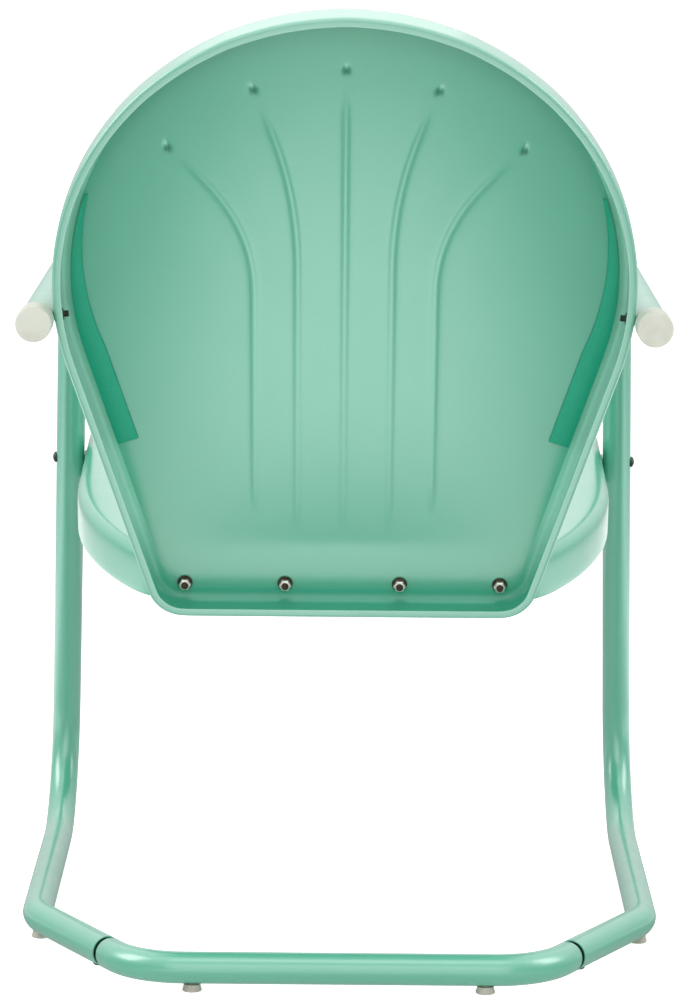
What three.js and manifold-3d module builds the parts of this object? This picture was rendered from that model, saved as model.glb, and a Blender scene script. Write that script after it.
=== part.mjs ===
import * as THREE from "three";
import { mergeVertices } from "three/addons/utils/BufferGeometryUtils.js";
import Module from "manifold-3d";

const wasm = await Module();
wasm.setup();

// A metal lawn chair that springs on two bent tubes. Millimetres, +Z up, the sitter faces -Y.
// While it is built the rear cross tube lies on Y = 0 and the floor is Z = 0.

// Tubes
const TUBE_RADIUS = 14;
const TUBE_WALL = 1.5;
const TUBE_SIDES = 16;
const JOINT_GAP = 0.3;
const BEND_STEP = THREE.MathUtils.degToRad(15);

// Side tube: the corners of its route, as half width, depth ahead of the cross tube, and height.
// The arm runs back and down from its corner, past the back's rim, to a short tail.
const ARM_SLOPE = THREE.MathUtils.degToRad(4.44);
const ARM_TAIL_LENGTH = 18.3;
const ARM_CORNER_DEPTH = 445;
const ARM_CORNER_HEIGHT = 611;
const SPRING_CORNER_HALF_WIDTH = 288;
const SPRING_CORNER_DEPTH = 636;
const REAR_CORNER_HALF_WIDTH = 279;
const REAR_CORNER_DEPTH = 180;
const SLEEVE_END_HALF_WIDTH = 206;
const SLEEVE_END_DEPTH = 52;
const ARM_BEND_RADIUS = 75;
const SPRING_BEND_RADIUS = 95;
const REAR_BEND_RADIUS = 80;
const SPRING_STUB = 18;

// Cross tube with swaged ends that slide into the side tubes
const CROSS_BEND_RADIUS = 70;
const SWAGE_TAPER_LENGTH = 7;
const SPIGOT_RADIUS = 12.2;
const SPIGOT_WALL = 1.4;
const SPIGOT_LENGTH = 42;
const SCREW_SETBACK = 18;

// Glides under the tubes
const GLIDE_RADIUS = 8.5;
const GLIDE_TOP_RADIUS = 6.5;
const GLIDE_HEIGHT = 6.5;
const GLIDE_EDGE = 1.2;
const GLIDE_STEM_RADIUS = 3.6;
const GLIDE_STEM_LENGTH = 4.5;
const GLIDE_SIDES = 14;
const REAR_GLIDE_HALF_SPACING = 128;
const FRONT_GLIDE_SETBACK = 12;

// Caps on the rear ends of the arms
const CAP_RADIUS = 15.8;
const CAP_END_THICKNESS = 3;
const CAP_EDGE_RADIUS = 1.6;
const CAP_EDGE_SHARE = 0.3;
const CAP_LENGTH = 24;
const CAP_SIDES = 16;

// Back shell: a pressed sheet, nearly round, drawn down to a narrow foot with round corners
const SHEET = 1.2;
const BACK_RECLINE = THREE.MathUtils.degToRad(18);
const BACK_FOOT_DEPTH = 150;
const BACK_FOOT_HEIGHT = 305.2;
const RIM_HALF_WIDTH = 253.6;
const RIM_HEAD_RISE = 247;
const RIM_CENTRE_HEIGHT = 317.6;
const RIM_SIDE_TAPER = THREE.MathUtils.degToRad(17.2);
const RIM_CORNER_RADIUS = 34;
const RIM_DEPTH = 33;
const FLANGE_WIDTH = 8;
const FLANGE_FOLD_RADIUS = 1.4;
const FLANGE_FOLD_STEPS = 2;
const RIM_FILLET_RADIUS = 8.5;
const RIM_FILLET_STEPS = 3;
const PANEL_BAND = 5;
const FOOT_STEPS = 4;
const CORNER_STEPS = 4;
const SIDE_STEPS = 5;
const HEAD_STEPS = 19;
const DISH_DEPTH = 20;
const DISH_START_HEIGHT = 60;

// Flutes pressed into the back: three spines on each half, straight and then fanned out to an end point
const FLUTE_HALF_WIDTH = 6;
const FLUTE_HALF_CREST = 2;
const FLUTE_RISE = 2.4;
const INNER_FLUTE_HALF_SPACING = 41;
const OUTER_FLUTE_HALF_SPACING = 79;
const CENTRE_FLUTE_START_HEIGHT = 72;
const OUTER_FLUTE_START_HEIGHT = 90;
const CENTRE_FLUTE_END_HEIGHT = 509;
const INNER_FLUTE_FAN_HEIGHT = 330;
const INNER_FLUTE_LOWER_PULL = 70;
const INNER_FLUTE_UPPER_PULL_ACROSS = 23;
const INNER_FLUTE_UPPER_PULL_DOWN = 49;
const INNER_FLUTE_END_HALF_WIDTH = 79;
const INNER_FLUTE_END_HEIGHT = 491;
const OUTER_FLUTE_FAN_HEIGHT = 310;
const OUTER_FLUTE_LOWER_PULL = 55;
const OUTER_FLUTE_UPPER_PULL_ACROSS = 48;
const OUTER_FLUTE_UPPER_PULL_DOWN = 36;
const OUTER_FLUTE_END_HALF_WIDTH = 153;
const OUTER_FLUTE_END_HEIGHT = 438;

// Rows and columns of the back's panel, as shares of the stretches they divide
const FOOT_ROW_SHARES = [0, 0.3, 0.62];
const FLUTE_ROW_SHARES = [0, 0.02, 0.15, 0.29, 0.43, 0.55, 0.64, 0.73, 0.82, 0.91, 0.985];
const HEAD_ROW_SHARES = [0, 0.5, 1];
const SIDE_COLUMN_SHARES = [0.34, 0.68, 0.87];
const SIDE_FOOT_START_HEIGHT = 88;
const SIDE_FLUTE_END_ANGLE = THREE.MathUtils.degToRad(28);
const PATCH_CORNER_ANGLE = THREE.MathUtils.degToRad(36);
const OUTER_HEAD_ANGLE = THREE.MathUtils.degToRad(46);
const INNER_HEAD_ANGLE = THREE.MathUtils.degToRad(66);

// Stiffeners that lie along the rim, inside the back
const STIFFENER_LOW_HEIGHT = 160;
const STIFFENER_TOP_ANGLE = THREE.MathUtils.degToRad(19.5);
const STIFFENER_INSET = 11;
const STIFFENER_WIDTH = 18.5;
const STIFFENER_TIP_SHARE = 0.15;
const STIFFENER_THICKNESS = 1.2;
const STIFFENER_RISE = 3;
const STIFFENER_EASE = 0.6;
const STIFFENER_LINE_STEPS = 3;
const STIFFENER_ARC_STEPS = 6;

// Seat pan: a pressed sheet with a skirt all round
const SEAT_TILT = THREE.MathUtils.degToRad(11.5);
const SEAT_JOIN_HEIGHT = 44;
const SEAT_HALF_WIDTH = 256;
const SEAT_DEPTH = 446;
const SEAT_FRONT_BOW = 5;
const SEAT_FRONT_CORNER_RADIUS = 64;
const SEAT_SIDE_ARC_RADIUS = 340;
const SEAT_WIDEST_DEPTH = 225;
const SEAT_STRAIGHT_END_LENGTH = 8;
const SEAT_REAR_CORNER_DEPTH = 26;
const SKIRT_HEIGHT = 44;
const SKIRT_FLANGE_WIDTH = 7;
const SKIRT_ROLL_RADIUS = 12;
const SKIRT_ROLL_STEPS = 3;
const SEAT_CENTRE_SHARE = 0.52;
const SEAT_BORDER_SCALE = 0.9;
const SEAT_STEP_SCALE = 0.85;
const SEAT_STEP_DEPTH = 4;
const SEAT_DISH_SCALES = [0.64, 0.4, 0.18];
const SEAT_DISH_DEPTH = 15;
const REAR_LINE_STEPS = 3;
const REAR_CORNER_STEPS = 3;
const SIDE_ARC_STEPS = 5;
const SIDE_LINE_STEPS = 2;
const FRONT_CORNER_STEPS = 4;
const FRONT_EDGE_STEPS = 4;

// Fasteners
const BOLT_RADIUS = 3;
const HOLE_RADIUS = 3.3;
const BOLT_HEAD_RADIUS = 5.5;
const BOLT_HEAD_HEIGHT = 3.2;
const BOLT_HEAD_CROWN_SHARE = 0.55;
const BOLT_END_CHAMFER = 0.6;
const BOLT_OVERHANG = 2;
const NUT_ACROSS_FLATS = 10;
const NUT_THICKNESS = 5;
const NUT_SIDES = 6;
const WASHER_RADIUS = 7.8;
const WASHER_THICKNESS = 1.6;
const ARM_SPACER_RADIUS = 6.5;
const ARM_SPACER_LENGTH = 0.9;
const ARM_BOLT_OVERHANG = 4.5;
const LEG_SPACER_LENGTH = 1.8;
const LEG_SPACER_RADIUS = 7.5;
const SPACER_EASE = 0.6;
const NUT_EASE = 0.7;
const FASTENER_SIDES = 10;
const SEAT_BOLT_CORNER_GAP = 0.9;
const SEAT_BOLT_INNER_HALF_SPACING = 52;
const SEAT_BOLT_HEIGHT = 18.6;
const LEG_BOLT_DEPTH = 20.9;
const ARM_BOLT_DEPTH = 14.5;
const SCREW_RADIUS = 2;
const SCREW_HOLE_RADIUS = 2.3;
const SCREW_HEAD_RADIUS = 4.2;
const SCREW_HEAD_HEIGHT = 2.4;
const SCREW_LENGTH = 9;

const PAINT = new THREE.MeshStandardMaterial({ color: 0x7fc8ab, roughness: 0.32, metalness: 0.1 });
const CAP_PLASTIC = new THREE.MeshStandardMaterial({ color: 0xe6e9dd, roughness: 0.45, metalness: 0 });
const GLIDE_PLASTIC = new THREE.MeshStandardMaterial({ color: 0xd5dad6, roughness: 0.4, metalness: 0 });
const ZINC = new THREE.MeshStandardMaterial({ color: 0xc9c6bd, roughness: 0.3, metalness: 0.9 });
const DARK_STEEL = new THREE.MeshStandardMaterial({ color: 0x3c4441, roughness: 0.4, metalness: 0.8 });

const X_AXIS = new THREE.Vector3(1, 0, 0);
const Z_AXIS = new THREE.Vector3(0, 0, 1);
const QUARTER_TURN = Math.PI / 2;
const TUBE_CENTRE_HEIGHT = GLIDE_HEIGHT + TUBE_RADIUS;
const ARM_RUN_TO_RIM = TUBE_RADIUS + SPACER_EASE + ARM_SPACER_LENGTH + JOINT_GAP;
const LEG_RUN_TO_SKIRT = TUBE_RADIUS + SPACER_EASE + LEG_SPACER_LENGTH + JOINT_GAP;
const SIDES = [
  [1, "left"],
  [-1, "right"],
];

const chair = new THREE.Group();

function add_piece(name, geometry, material) {
  const piece = new THREE.Mesh(geometry, material);
  piece.name = name;
  chair.add(piece);
}

function lerp(from, to, share) {
  return from + (to - from) * share;
}

// Solids and cuts

function indexed_geometry(points, faces) {
  const geometry = new THREE.BufferGeometry();
  const coordinates = points.flatMap((point) => [point.x, point.y, point.z]);
  geometry.setAttribute("position", new THREE.Float32BufferAttribute(coordinates, 3));
  geometry.setIndex(faces.flat());
  return geometry;
}

function to_solid(geometry) {
  const bare = geometry.clone();
  bare.deleteAttribute("normal");
  bare.deleteAttribute("uv");
  const merged = mergeVertices(bare);
  return new wasm.Manifold(
    new wasm.Mesh({
      numProp: 3,
      vertProperties: new Float32Array(merged.attributes.position.array),
      triVerts: new Uint32Array(merged.index.array),
    }),
  );
}

function from_solid(solid) {
  const mesh = solid.getMesh();
  const geometry = new THREE.BufferGeometry();
  geometry.setAttribute("position", new THREE.BufferAttribute(new Float32Array(mesh.vertProperties), 3));
  geometry.setIndex(new THREE.BufferAttribute(new Uint32Array(mesh.triVerts), 1));
  return geometry;
}

// Turns a piece made along +Z so that it points along a direction from a point.
function aim(geometry, point, direction) {
  const turn = new THREE.Quaternion().setFromUnitVectors(Z_AXIS, direction.clone().normalize());
  const place = new THREE.Matrix4().compose(point, turn, new THREE.Vector3(1, 1, 1));
  return geometry.clone().applyMatrix4(place);
}

// Each hole is a point on its axis, a direction, a radius and its reach along that direction.
function drill(geometry, holes) {
  let solid = to_solid(geometry);
  for (const hole of holes) {
    const drill_bit = new THREE.CylinderGeometry(hole.radius, hole.radius, hole.reach, FASTENER_SIDES);
    drill_bit.rotateX(QUARTER_TURN);
    drill_bit.translate(0, 0, hole.reach / 2);
    solid = solid.subtract(to_solid(aim(drill_bit, hole.point, hole.direction)));
  }
  return from_solid(solid);
}

// A skin of points and faces becomes a sheet, its second skin one thickness below the first.
function thick_sheet(points, faces, thickness) {
  const skin = indexed_geometry(points, faces);
  skin.computeVertexNormals();
  const normals = skin.attributes.normal;
  const below = points.map((point, i) =>
    new THREE.Vector3().fromBufferAttribute(normals, i).multiplyScalar(-thickness).add(point),
  );
  const count = points.length;
  const solid_faces = [...faces];
  const edges = new Set();
  for (const [a, b, c] of faces) {
    solid_faces.push([c + count, b + count, a + count]);
    edges.add(`${a},${b}`).add(`${b},${c}`).add(`${c},${a}`);
  }
  for (const edge of edges) {
    const [a, b] = edge.split(",").map(Number);
    if (!edges.has(`${b},${a}`)) {
      solid_faces.push([b, a, a + count], [b, a + count, b + count]);
    }
  }
  return indexed_geometry([...points, ...below], solid_faces);
}

// Faces between two loops with different counts, each sorted by its angle round a shared centre.
function zip_faces(points, inner, outer, centre) {
  const angle_of = (index) => {
    const angle = Math.atan2(points[index].x - centre.x, centre.y - points[index].y);
    return (angle + 2 * Math.PI) % (2 * Math.PI);
  };
  const sorted = (loop) => [...loop].sort((a, b) => angle_of(a) - angle_of(b));
  const a = sorted(inner);
  const b = sorted(outer);
  const faces = [];
  let i = 0;
  let j = 0;
  while (i < a.length || j < b.length) {
    const next_a = i + 1 < a.length ? angle_of(a[i + 1]) : 2 * Math.PI + angle_of(a[0]);
    const next_b = j + 1 < b.length ? angle_of(b[j + 1]) : 2 * Math.PI + angle_of(b[0]);
    const from = [a[i % a.length], b[j % b.length]];
    if (j >= b.length || (i < a.length && next_a <= next_b)) {
      faces.push([from[0], a[(i + 1) % a.length], from[1]]);
      i += 1;
    } else {
      faces.push([from[0], b[(j + 1) % b.length], from[1]]);
      j += 1;
    }
  }
  return faces;
}

// Faces between two loops of points with the same count.
function loop_faces(outer, inner) {
  const faces = [];
  outer.forEach((a, i) => {
    const next = (i + 1) % outer.length;
    faces.push([a, outer[next], inner[next]], [a, inner[next], inner[i]]);
  });
  return faces;
}

// Rings of points joined into a closed body; a ring-shaped body joins its last ring to its first.
function ring_loft(rings, ring_shaped) {
  const points = rings.flat();
  const sides = rings[0].length;
  const index_rings = rings.map((ring, r) => ring.map((point, i) => r * sides + i));
  const faces = [];
  for (let r = 0; r + 1 < rings.length; r += 1) {
    faces.push(...loop_faces(index_rings[r], index_rings[r + 1]));
  }
  const first = index_rings[0];
  const last = index_rings[rings.length - 1];
  if (ring_shaped) {
    faces.push(...loop_faces(last, first));
  } else {
    for (let i = 1; i + 1 < sides; i += 1) {
      faces.push([first[0], first[i + 1], first[i]], [last[0], last[i], last[i + 1]]);
    }
  }
  return outward(indexed_geometry(points, faces));
}

// Turns a closed body's faces outwards where its volume comes out negative.
function outward(geometry) {
  const index = geometry.index.array;
  const position = geometry.attributes.position;
  const corners = [new THREE.Vector3(), new THREE.Vector3(), new THREE.Vector3()];
  let volume = 0;
  for (let i = 0; i < index.length; i += 3) {
    corners.forEach((corner, k) => corner.fromBufferAttribute(position, index[i + k]));
    volume += corners[0].dot(corners[1].clone().cross(corners[2]));
  }
  if (volume < 0) {
    for (let i = 0; i < index.length; i += 3) {
      [index[i], index[i + 1]] = [index[i + 1], index[i]];
    }
  }
  return geometry;
}

// Tube routes

function fillet(before, corner, after, radius) {
  const back = before.clone().sub(corner).normalize();
  const on = after.clone().sub(corner).normalize();
  const half_angle = back.angleTo(on) / 2;
  const start = corner.clone().addScaledVector(back, radius / Math.tan(half_angle));
  const bisector = back.clone().add(on).normalize();
  const centre = corner.clone().addScaledVector(bisector, radius / Math.sin(half_angle));
  const axis = on.clone().cross(back).normalize();
  const turn = Math.PI - 2 * half_angle;
  const steps = Math.ceil(turn / BEND_STEP);
  const arm = start.clone().sub(centre);
  const points = [];
  for (let i = 0; i <= steps; i += 1) {
    const spoke = arm.clone().applyAxisAngle(axis, (turn * i) / steps);
    points.push(centre.clone().add(spoke));
  }
  return { points, centre };
}

// A curve that is cut exactly at its own points when a section is extruded along it.
class StationCurve extends THREE.Curve {
  constructor(stations) {
    super();
    this.stations = stations;
  }

  getPointAt(share) {
    return this.stations[Math.round(share * (this.stations.length - 1))].clone();
  }

  getTangentAt(share) {
    const at = Math.round(share * (this.stations.length - 1));
    return station_tangent(this.stations, at);
  }
}

function station_tangent(stations, at) {
  const last = stations.length - 1;
  const tangent = new THREE.Vector3();
  if (at > 0) {
    tangent.add(stations[at].clone().sub(stations[at - 1]).normalize());
  }
  if (at < last) {
    tangent.add(stations[at + 1].clone().sub(stations[at]).normalize());
  }
  return tangent.normalize();
}

function hollow_tube(stations) {
  const section = new THREE.Shape().absarc(0, 0, TUBE_RADIUS, 0, 2 * Math.PI);
  section.holes.push(new THREE.Path().absarc(0, 0, TUBE_RADIUS - TUBE_WALL, 0, 2 * Math.PI, true));
  const geometry = new THREE.ExtrudeGeometry(section, {
    steps: stations.length - 1,
    curveSegments: TUBE_SIDES / 2,
    extrudePath: new StationCurve(stations),
  });
  geometry.deleteAttribute("normal");
  geometry.deleteAttribute("uv");
  return outward(mergeVertices(geometry));
}

// Revolved pieces, closed, along +Z. Profile points are [radius, height].
function revolved(profile, sides) {
  const geometry = new THREE.LatheGeometry(profile.map(([r, z]) => new THREE.Vector2(r, z)), sides);
  geometry.rotateX(QUARTER_TURN);
  geometry.deleteAttribute("normal");
  geometry.deleteAttribute("uv");
  return outward(mergeVertices(geometry));
}

function ring_piece(radius, hole_radius, thickness) {
  const profile = [
    [hole_radius, 0],
    [radius, 0],
    [radius, thickness],
    [hole_radius, thickness],
    [hole_radius, 0],
  ];
  return revolved(profile, FASTENER_SIDES);
}

// A bolt along +Z: the underside of its head lies at zero and its end at the given length.
function bolt(radius, head_radius, head_height, length) {
  const profile = [
    [0, -head_height],
    [head_radius * BOLT_HEAD_CROWN_SHARE, -head_height],
    [head_radius, -head_height / 2],
    [head_radius, 0],
    [radius, 0],
    [radius, length - BOLT_END_CHAMFER],
    [radius - BOLT_END_CHAMFER, length],
    [0, length],
  ];
  return revolved(profile, FASTENER_SIDES);
}

function nut() {
  const corner_radius = NUT_ACROSS_FLATS / 2 / Math.cos(Math.PI / NUT_SIDES);
  const section = new THREE.Shape();
  for (let i = 0; i < NUT_SIDES; i += 1) {
    const angle = (2 * Math.PI * i) / NUT_SIDES;
    const x = corner_radius * Math.cos(angle);
    const y = corner_radius * Math.sin(angle);
    if (i === 0) {
      section.moveTo(x, y);
    } else {
      section.lineTo(x, y);
    }
  }
  section.closePath();
  section.holes.push(new THREE.Path().absarc(0, 0, HOLE_RADIUS, 0, 2 * Math.PI, true));
  return new THREE.ExtrudeGeometry(section, {
    depth: NUT_THICKNESS,
    bevelEnabled: false,
    curveSegments: FASTENER_SIDES / 2,
  });
}

// Frames of the back and the seat

// In the back's frame x runs across, y up the back from its foot, and z towards the sitter.
const back_up = new THREE.Vector3(0, Math.sin(BACK_RECLINE), Math.cos(BACK_RECLINE));
const back_front = new THREE.Vector3(0, -Math.cos(BACK_RECLINE), Math.sin(BACK_RECLINE));
const back_frame = new THREE.Matrix4()
  .makeBasis(X_AXIS, back_up, back_front)
  .setPosition(0, -BACK_FOOT_DEPTH, BACK_FOOT_HEIGHT);
const into_back = back_frame.clone().invert();

// In the seat's frame x runs across, y to the rear from its rear edge, and z up from its top.
const seat_rear = new THREE.Vector3(0, Math.cos(SEAT_TILT), -Math.sin(SEAT_TILT));
const seat_up = new THREE.Vector3(0, Math.sin(SEAT_TILT), Math.cos(SEAT_TILT));
const seat_origin = new THREE.Vector3(0, SEAT_JOIN_HEIGHT, RIM_DEPTH + SHEET + JOINT_GAP);
seat_origin.applyMatrix4(back_frame);
const seat_frame = new THREE.Matrix4().makeBasis(X_AXIS, seat_rear, seat_up).setPosition(seat_origin);
const into_seat = seat_frame.clone().invert();

function back_direction(x, y, z) {
  return new THREE.Vector3(x, y, z).transformDirection(back_frame);
}

// Side tubes, one pair

// The leg's bolt, as the share of the way down from the arm's corner to the spring bend's corner.
function leg_bolt_share() {
  const above = new THREE.Vector3(0, -ARM_CORNER_DEPTH, ARM_CORNER_HEIGHT).applyMatrix4(into_seat).z;
  const below = new THREE.Vector3(0, -SPRING_CORNER_DEPTH, TUBE_CENTRE_HEIGHT).applyMatrix4(into_seat).z;
  return (above + LEG_BOLT_DEPTH) / (above - below);
}

// Half width of the arm's corner, so that the leg passes the seat's skirt with its spacer between them.
function arm_corner_half_width() {
  const share = leg_bolt_share();
  return (SEAT_HALF_WIDTH + LEG_RUN_TO_SKIRT - SPRING_CORNER_HALF_WIDTH * share) / (1 - share);
}

// The arm's bolt: the arm's centre beside the rim's outer wall, and the direction square to that wall.
// The wall is straight below the start of its taper.
function arm_bolt_place(side) {
  const centre = new THREE.Vector3(0, -ARM_CORNER_DEPTH, ARM_CORNER_HEIGHT).applyMatrix4(into_back);
  const rearward = new THREE.Vector3(0, Math.cos(ARM_SLOPE), -Math.sin(ARM_SLOPE));
  rearward.transformDirection(into_back);
  centre.addScaledVector(rearward, (ARM_BOLT_DEPTH - centre.z) / rearward.z);
  const rise = centre.y - RIM_CENTRE_HEIGHT;
  const reach_across = RIM_HALF_WIDTH + ARM_RUN_TO_RIM;
  const reach_up = (rise > 0 ? RIM_HEAD_RISE : RIM_HALF_WIDTH) + ARM_RUN_TO_RIM;
  const turn = Math.max(Math.asin(rise / reach_up), -RIM_SIDE_TAPER);
  const slope = Math.atan2(reach_across * Math.sin(turn), reach_up * Math.cos(turn));
  const past_taper = (reach_up * Math.sin(turn) - rise) * Math.tan(slope);
  centre.x = side * (reach_across * Math.cos(turn) + past_taper);
  const inward = back_direction(-side * Math.cos(slope), -Math.sin(slope), 0);
  return { centre: centre.applyMatrix4(back_frame), inward };
}

function side_corners(side) {
  const on_floor = (half_width, ahead) =>
    new THREE.Vector3(side * half_width, -ahead, TUBE_CENTRE_HEIGHT);
  const arm_corner_x = side * arm_corner_half_width();
  const arm_corner = new THREE.Vector3(arm_corner_x, -ARM_CORNER_DEPTH, ARM_CORNER_HEIGHT);
  const arm_bolt = arm_bolt_place(side).centre;
  const rearward = arm_bolt.clone().sub(arm_corner).normalize();
  return {
    arm_end: arm_bolt.addScaledVector(rearward, CAP_LENGTH + ARM_TAIL_LENGTH),
    arm_corner,
    spring_corner: on_floor(SPRING_CORNER_HALF_WIDTH, SPRING_CORNER_DEPTH),
    rear_corner: on_floor(REAR_CORNER_HALF_WIDTH, REAR_CORNER_DEPTH),
    sleeve_end: on_floor(SLEEVE_END_HALF_WIDTH, SLEEVE_END_DEPTH),
  };
}

function side_route(side) {
  const at = side_corners(side);
  const arm_bend = fillet(at.arm_end, at.arm_corner, at.spring_corner, ARM_BEND_RADIUS);
  const spring = fillet(at.arm_corner, at.spring_corner, at.rear_corner, SPRING_BEND_RADIUS);
  const rear_bend = fillet(at.spring_corner, at.rear_corner, at.sleeve_end, REAR_BEND_RADIUS);
  const leg_up = at.arm_corner.clone().sub(at.spring_corner).normalize();
  const runner_back = at.rear_corner.clone().sub(at.spring_corner).normalize();
  const spring_top = spring.points[0].clone().addScaledVector(leg_up, SPRING_STUB);
  const spring_foot = spring.points[spring.points.length - 1].clone();
  spring_foot.addScaledVector(runner_back, SPRING_STUB);
  const runner_front = spring_foot.clone().addScaledVector(runner_back, JOINT_GAP);
  return {
    at,
    leg_up,
    runner_back,
    arm_leg: [at.arm_end, ...arm_bend.points, spring_top.clone().addScaledVector(leg_up, JOINT_GAP)],
    spring: [spring_top, ...spring.points, spring_foot],
    runner: [runner_front, ...rear_bend.points, at.sleeve_end],
  };
}

// Other fastener places on one side

function leg_bolt_place(side) {
  const { arm_corner, spring_corner } = side_corners(side);
  const centre = arm_corner.clone().lerp(spring_corner, leg_bolt_share());
  return { centre, inward: new THREE.Vector3(-side, 0, 0) };
}

function joint_screw_place(side) {
  const { rear_corner, sleeve_end } = side_corners(side);
  const along = rear_corner.clone().sub(sleeve_end).normalize();
  return sleeve_end.clone().addScaledVector(along, SCREW_SETBACK);
}

function joint_screw_hole(side) {
  const down = Z_AXIS.clone().negate();
  const point = joint_screw_place(side);
  return { point, direction: down, radius: SCREW_HOLE_RADIUS, reach: 2 * TUBE_RADIUS };
}

function hole_through(centre, direction, half_reach, radius) {
  const point = centre.clone().addScaledVector(direction, -half_reach);
  return { point, direction, radius, reach: 2 * half_reach };
}

function stem_hole(x, y) {
  const point = new THREE.Vector3(x, y, 0);
  return { point, direction: Z_AXIS, radius: GLIDE_STEM_RADIUS + JOINT_GAP, reach: TUBE_CENTRE_HEIGHT };
}

function add_side_tubes(side, prefix) {
  const route = side_route(side);
  const leg_bolt = leg_bolt_place(side);
  const arm_bolt = arm_bolt_place(side);
  const arm_leg = drill(hollow_tube(route.arm_leg), [
    hole_through(leg_bolt.centre, leg_bolt.inward, 2 * TUBE_RADIUS, HOLE_RADIUS),
    hole_through(arm_bolt.centre, arm_bolt.inward, 2 * TUBE_RADIUS, HOLE_RADIUS),
  ]);
  const glide_holes = runner_glide_places(side).map((place) => stem_hole(place.x, place.y));
  const runner = drill(hollow_tube(route.runner), [...glide_holes, joint_screw_hole(side)]);
  add_piece(`${prefix}_arm_leg_tube`, arm_leg, PAINT);
  add_piece(`${prefix}_spring_bend`, hollow_tube(route.spring), PAINT);
  add_piece(`${prefix}_runner_tube`, runner, PAINT);
}

// Glide places: at the start of each runner and at the middle of its rear bend

function runner_glide_places(side) {
  const route = side_route(side);
  const setback = FRONT_GLIDE_SETBACK + GLIDE_RADIUS;
  const front = route.runner[0].clone().addScaledVector(route.runner_back, setback);
  const bend = route.runner.slice(1, -1);
  const rear = bend[0].clone().lerp(bend[bend.length - 1], 1 / 2);
  rear.lerp(bend[Math.floor(bend.length / 2)], 1 / 2);
  return [front, rear];
}

// Cross tube: hollow, bent at both ends, each end drawn down to a spigot

function cross_stations() {
  const { rear_corner, sleeve_end } = side_corners(1);
  const slant = rear_corner.clone().sub(sleeve_end).normalize();
  const bend_corner = sleeve_end.clone().addScaledVector(slant, -sleeve_end.y / slant.y);
  const middle = new THREE.Vector3(0, 0, TUBE_CENTRE_HEIGHT);
  const bend = fillet(middle, bend_corner, rear_corner, CROSS_BEND_RADIUS);
  const taper_start = sleeve_end.clone().addScaledVector(slant, -SWAGE_TAPER_LENGTH);
  const spigot_end = sleeve_end.clone().addScaledVector(slant, SPIGOT_LENGTH);
  const full = { outer: TUBE_RADIUS, inner: TUBE_RADIUS - TUBE_WALL };
  const drawn = { outer: SPIGOT_RADIUS, inner: SPIGOT_RADIUS - SPIGOT_WALL };
  const half = [
    ...bend.points.map((point) => ({ point, ...full })),
    { point: taper_start, ...full },
    { point: sleeve_end.clone().addScaledVector(slant, -JOINT_GAP), ...drawn },
    { point: spigot_end, ...drawn },
  ];
  const mirrored = half.map((station) => ({
    ...station,
    point: station.point.clone().multiply(new THREE.Vector3(-1, 1, 1)),
  }));
  return [...mirrored.reverse(), ...half];
}

function cross_tube() {
  const stations = cross_stations();
  const points = stations.map((station) => station.point);
  const ring = (at, radius) => {
    const tangent = station_tangent(points, at);
    const across = tangent.clone().cross(Z_AXIS).normalize();
    const circle = [];
    for (let i = 0; i < TUBE_SIDES; i += 1) {
      const angle = (2 * Math.PI * i) / TUBE_SIDES;
      const spoke = across.clone().multiplyScalar(Math.cos(angle) * radius);
      circle.push(points[at].clone().add(spoke).addScaledVector(Z_AXIS, Math.sin(angle) * radius));
    }
    return circle;
  };
  const outer = stations.map((station, at) => ring(at, station.outer));
  const inner = stations.map((station, at) => ring(at, station.inner)).reverse();
  const holes = SIDES.flatMap(([side]) => [
    stem_hole(side * REAR_GLIDE_HALF_SPACING, 0),
    joint_screw_hole(side),
  ]);
  return drill(ring_loft([...outer, ...inner], true), holes);
}

// Glides, caps and joint screws

function glide() {
  const top = GLIDE_HEIGHT - JOINT_GAP;
  const profile = [
    [0, 0],
    [GLIDE_RADIUS - GLIDE_EDGE, 0],
    [GLIDE_RADIUS, GLIDE_EDGE],
    [GLIDE_TOP_RADIUS, top],
    [GLIDE_STEM_RADIUS, top],
    [GLIDE_STEM_RADIUS, GLIDE_HEIGHT + GLIDE_STEM_LENGTH],
    [0, GLIDE_HEIGHT + GLIDE_STEM_LENGTH],
  ];
  return revolved(profile, GLIDE_SIDES);
}

function add_glides() {
  for (const [side, prefix] of SIDES) {
    const [front, rear] = runner_glide_places(side);
    const places = [
      ["front_glide", front],
      ["corner_glide", rear],
      ["rear_glide", new THREE.Vector3(side * REAR_GLIDE_HALF_SPACING, 0, 0)],
    ];
    for (const [name, place] of places) {
      add_piece(`${prefix}_${name}`, glide().translate(place.x, place.y, 0), GLIDE_PLASTIC);
    }
  }
}

function arm_cap() {
  const bore = TUBE_RADIUS + JOINT_GAP;
  const edge_cut = CAP_EDGE_RADIUS * CAP_EDGE_SHARE;
  const profile = [
    [0, 0],
    [bore, 0],
    [bore, -CAP_LENGTH],
    [CAP_RADIUS, -CAP_LENGTH],
    [CAP_RADIUS, CAP_END_THICKNESS - CAP_EDGE_RADIUS],
    [CAP_RADIUS - edge_cut, CAP_END_THICKNESS - edge_cut],
    [CAP_RADIUS - CAP_EDGE_RADIUS, CAP_END_THICKNESS],
    [0, CAP_END_THICKNESS],
  ];
  return revolved(profile, CAP_SIDES);
}

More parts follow.
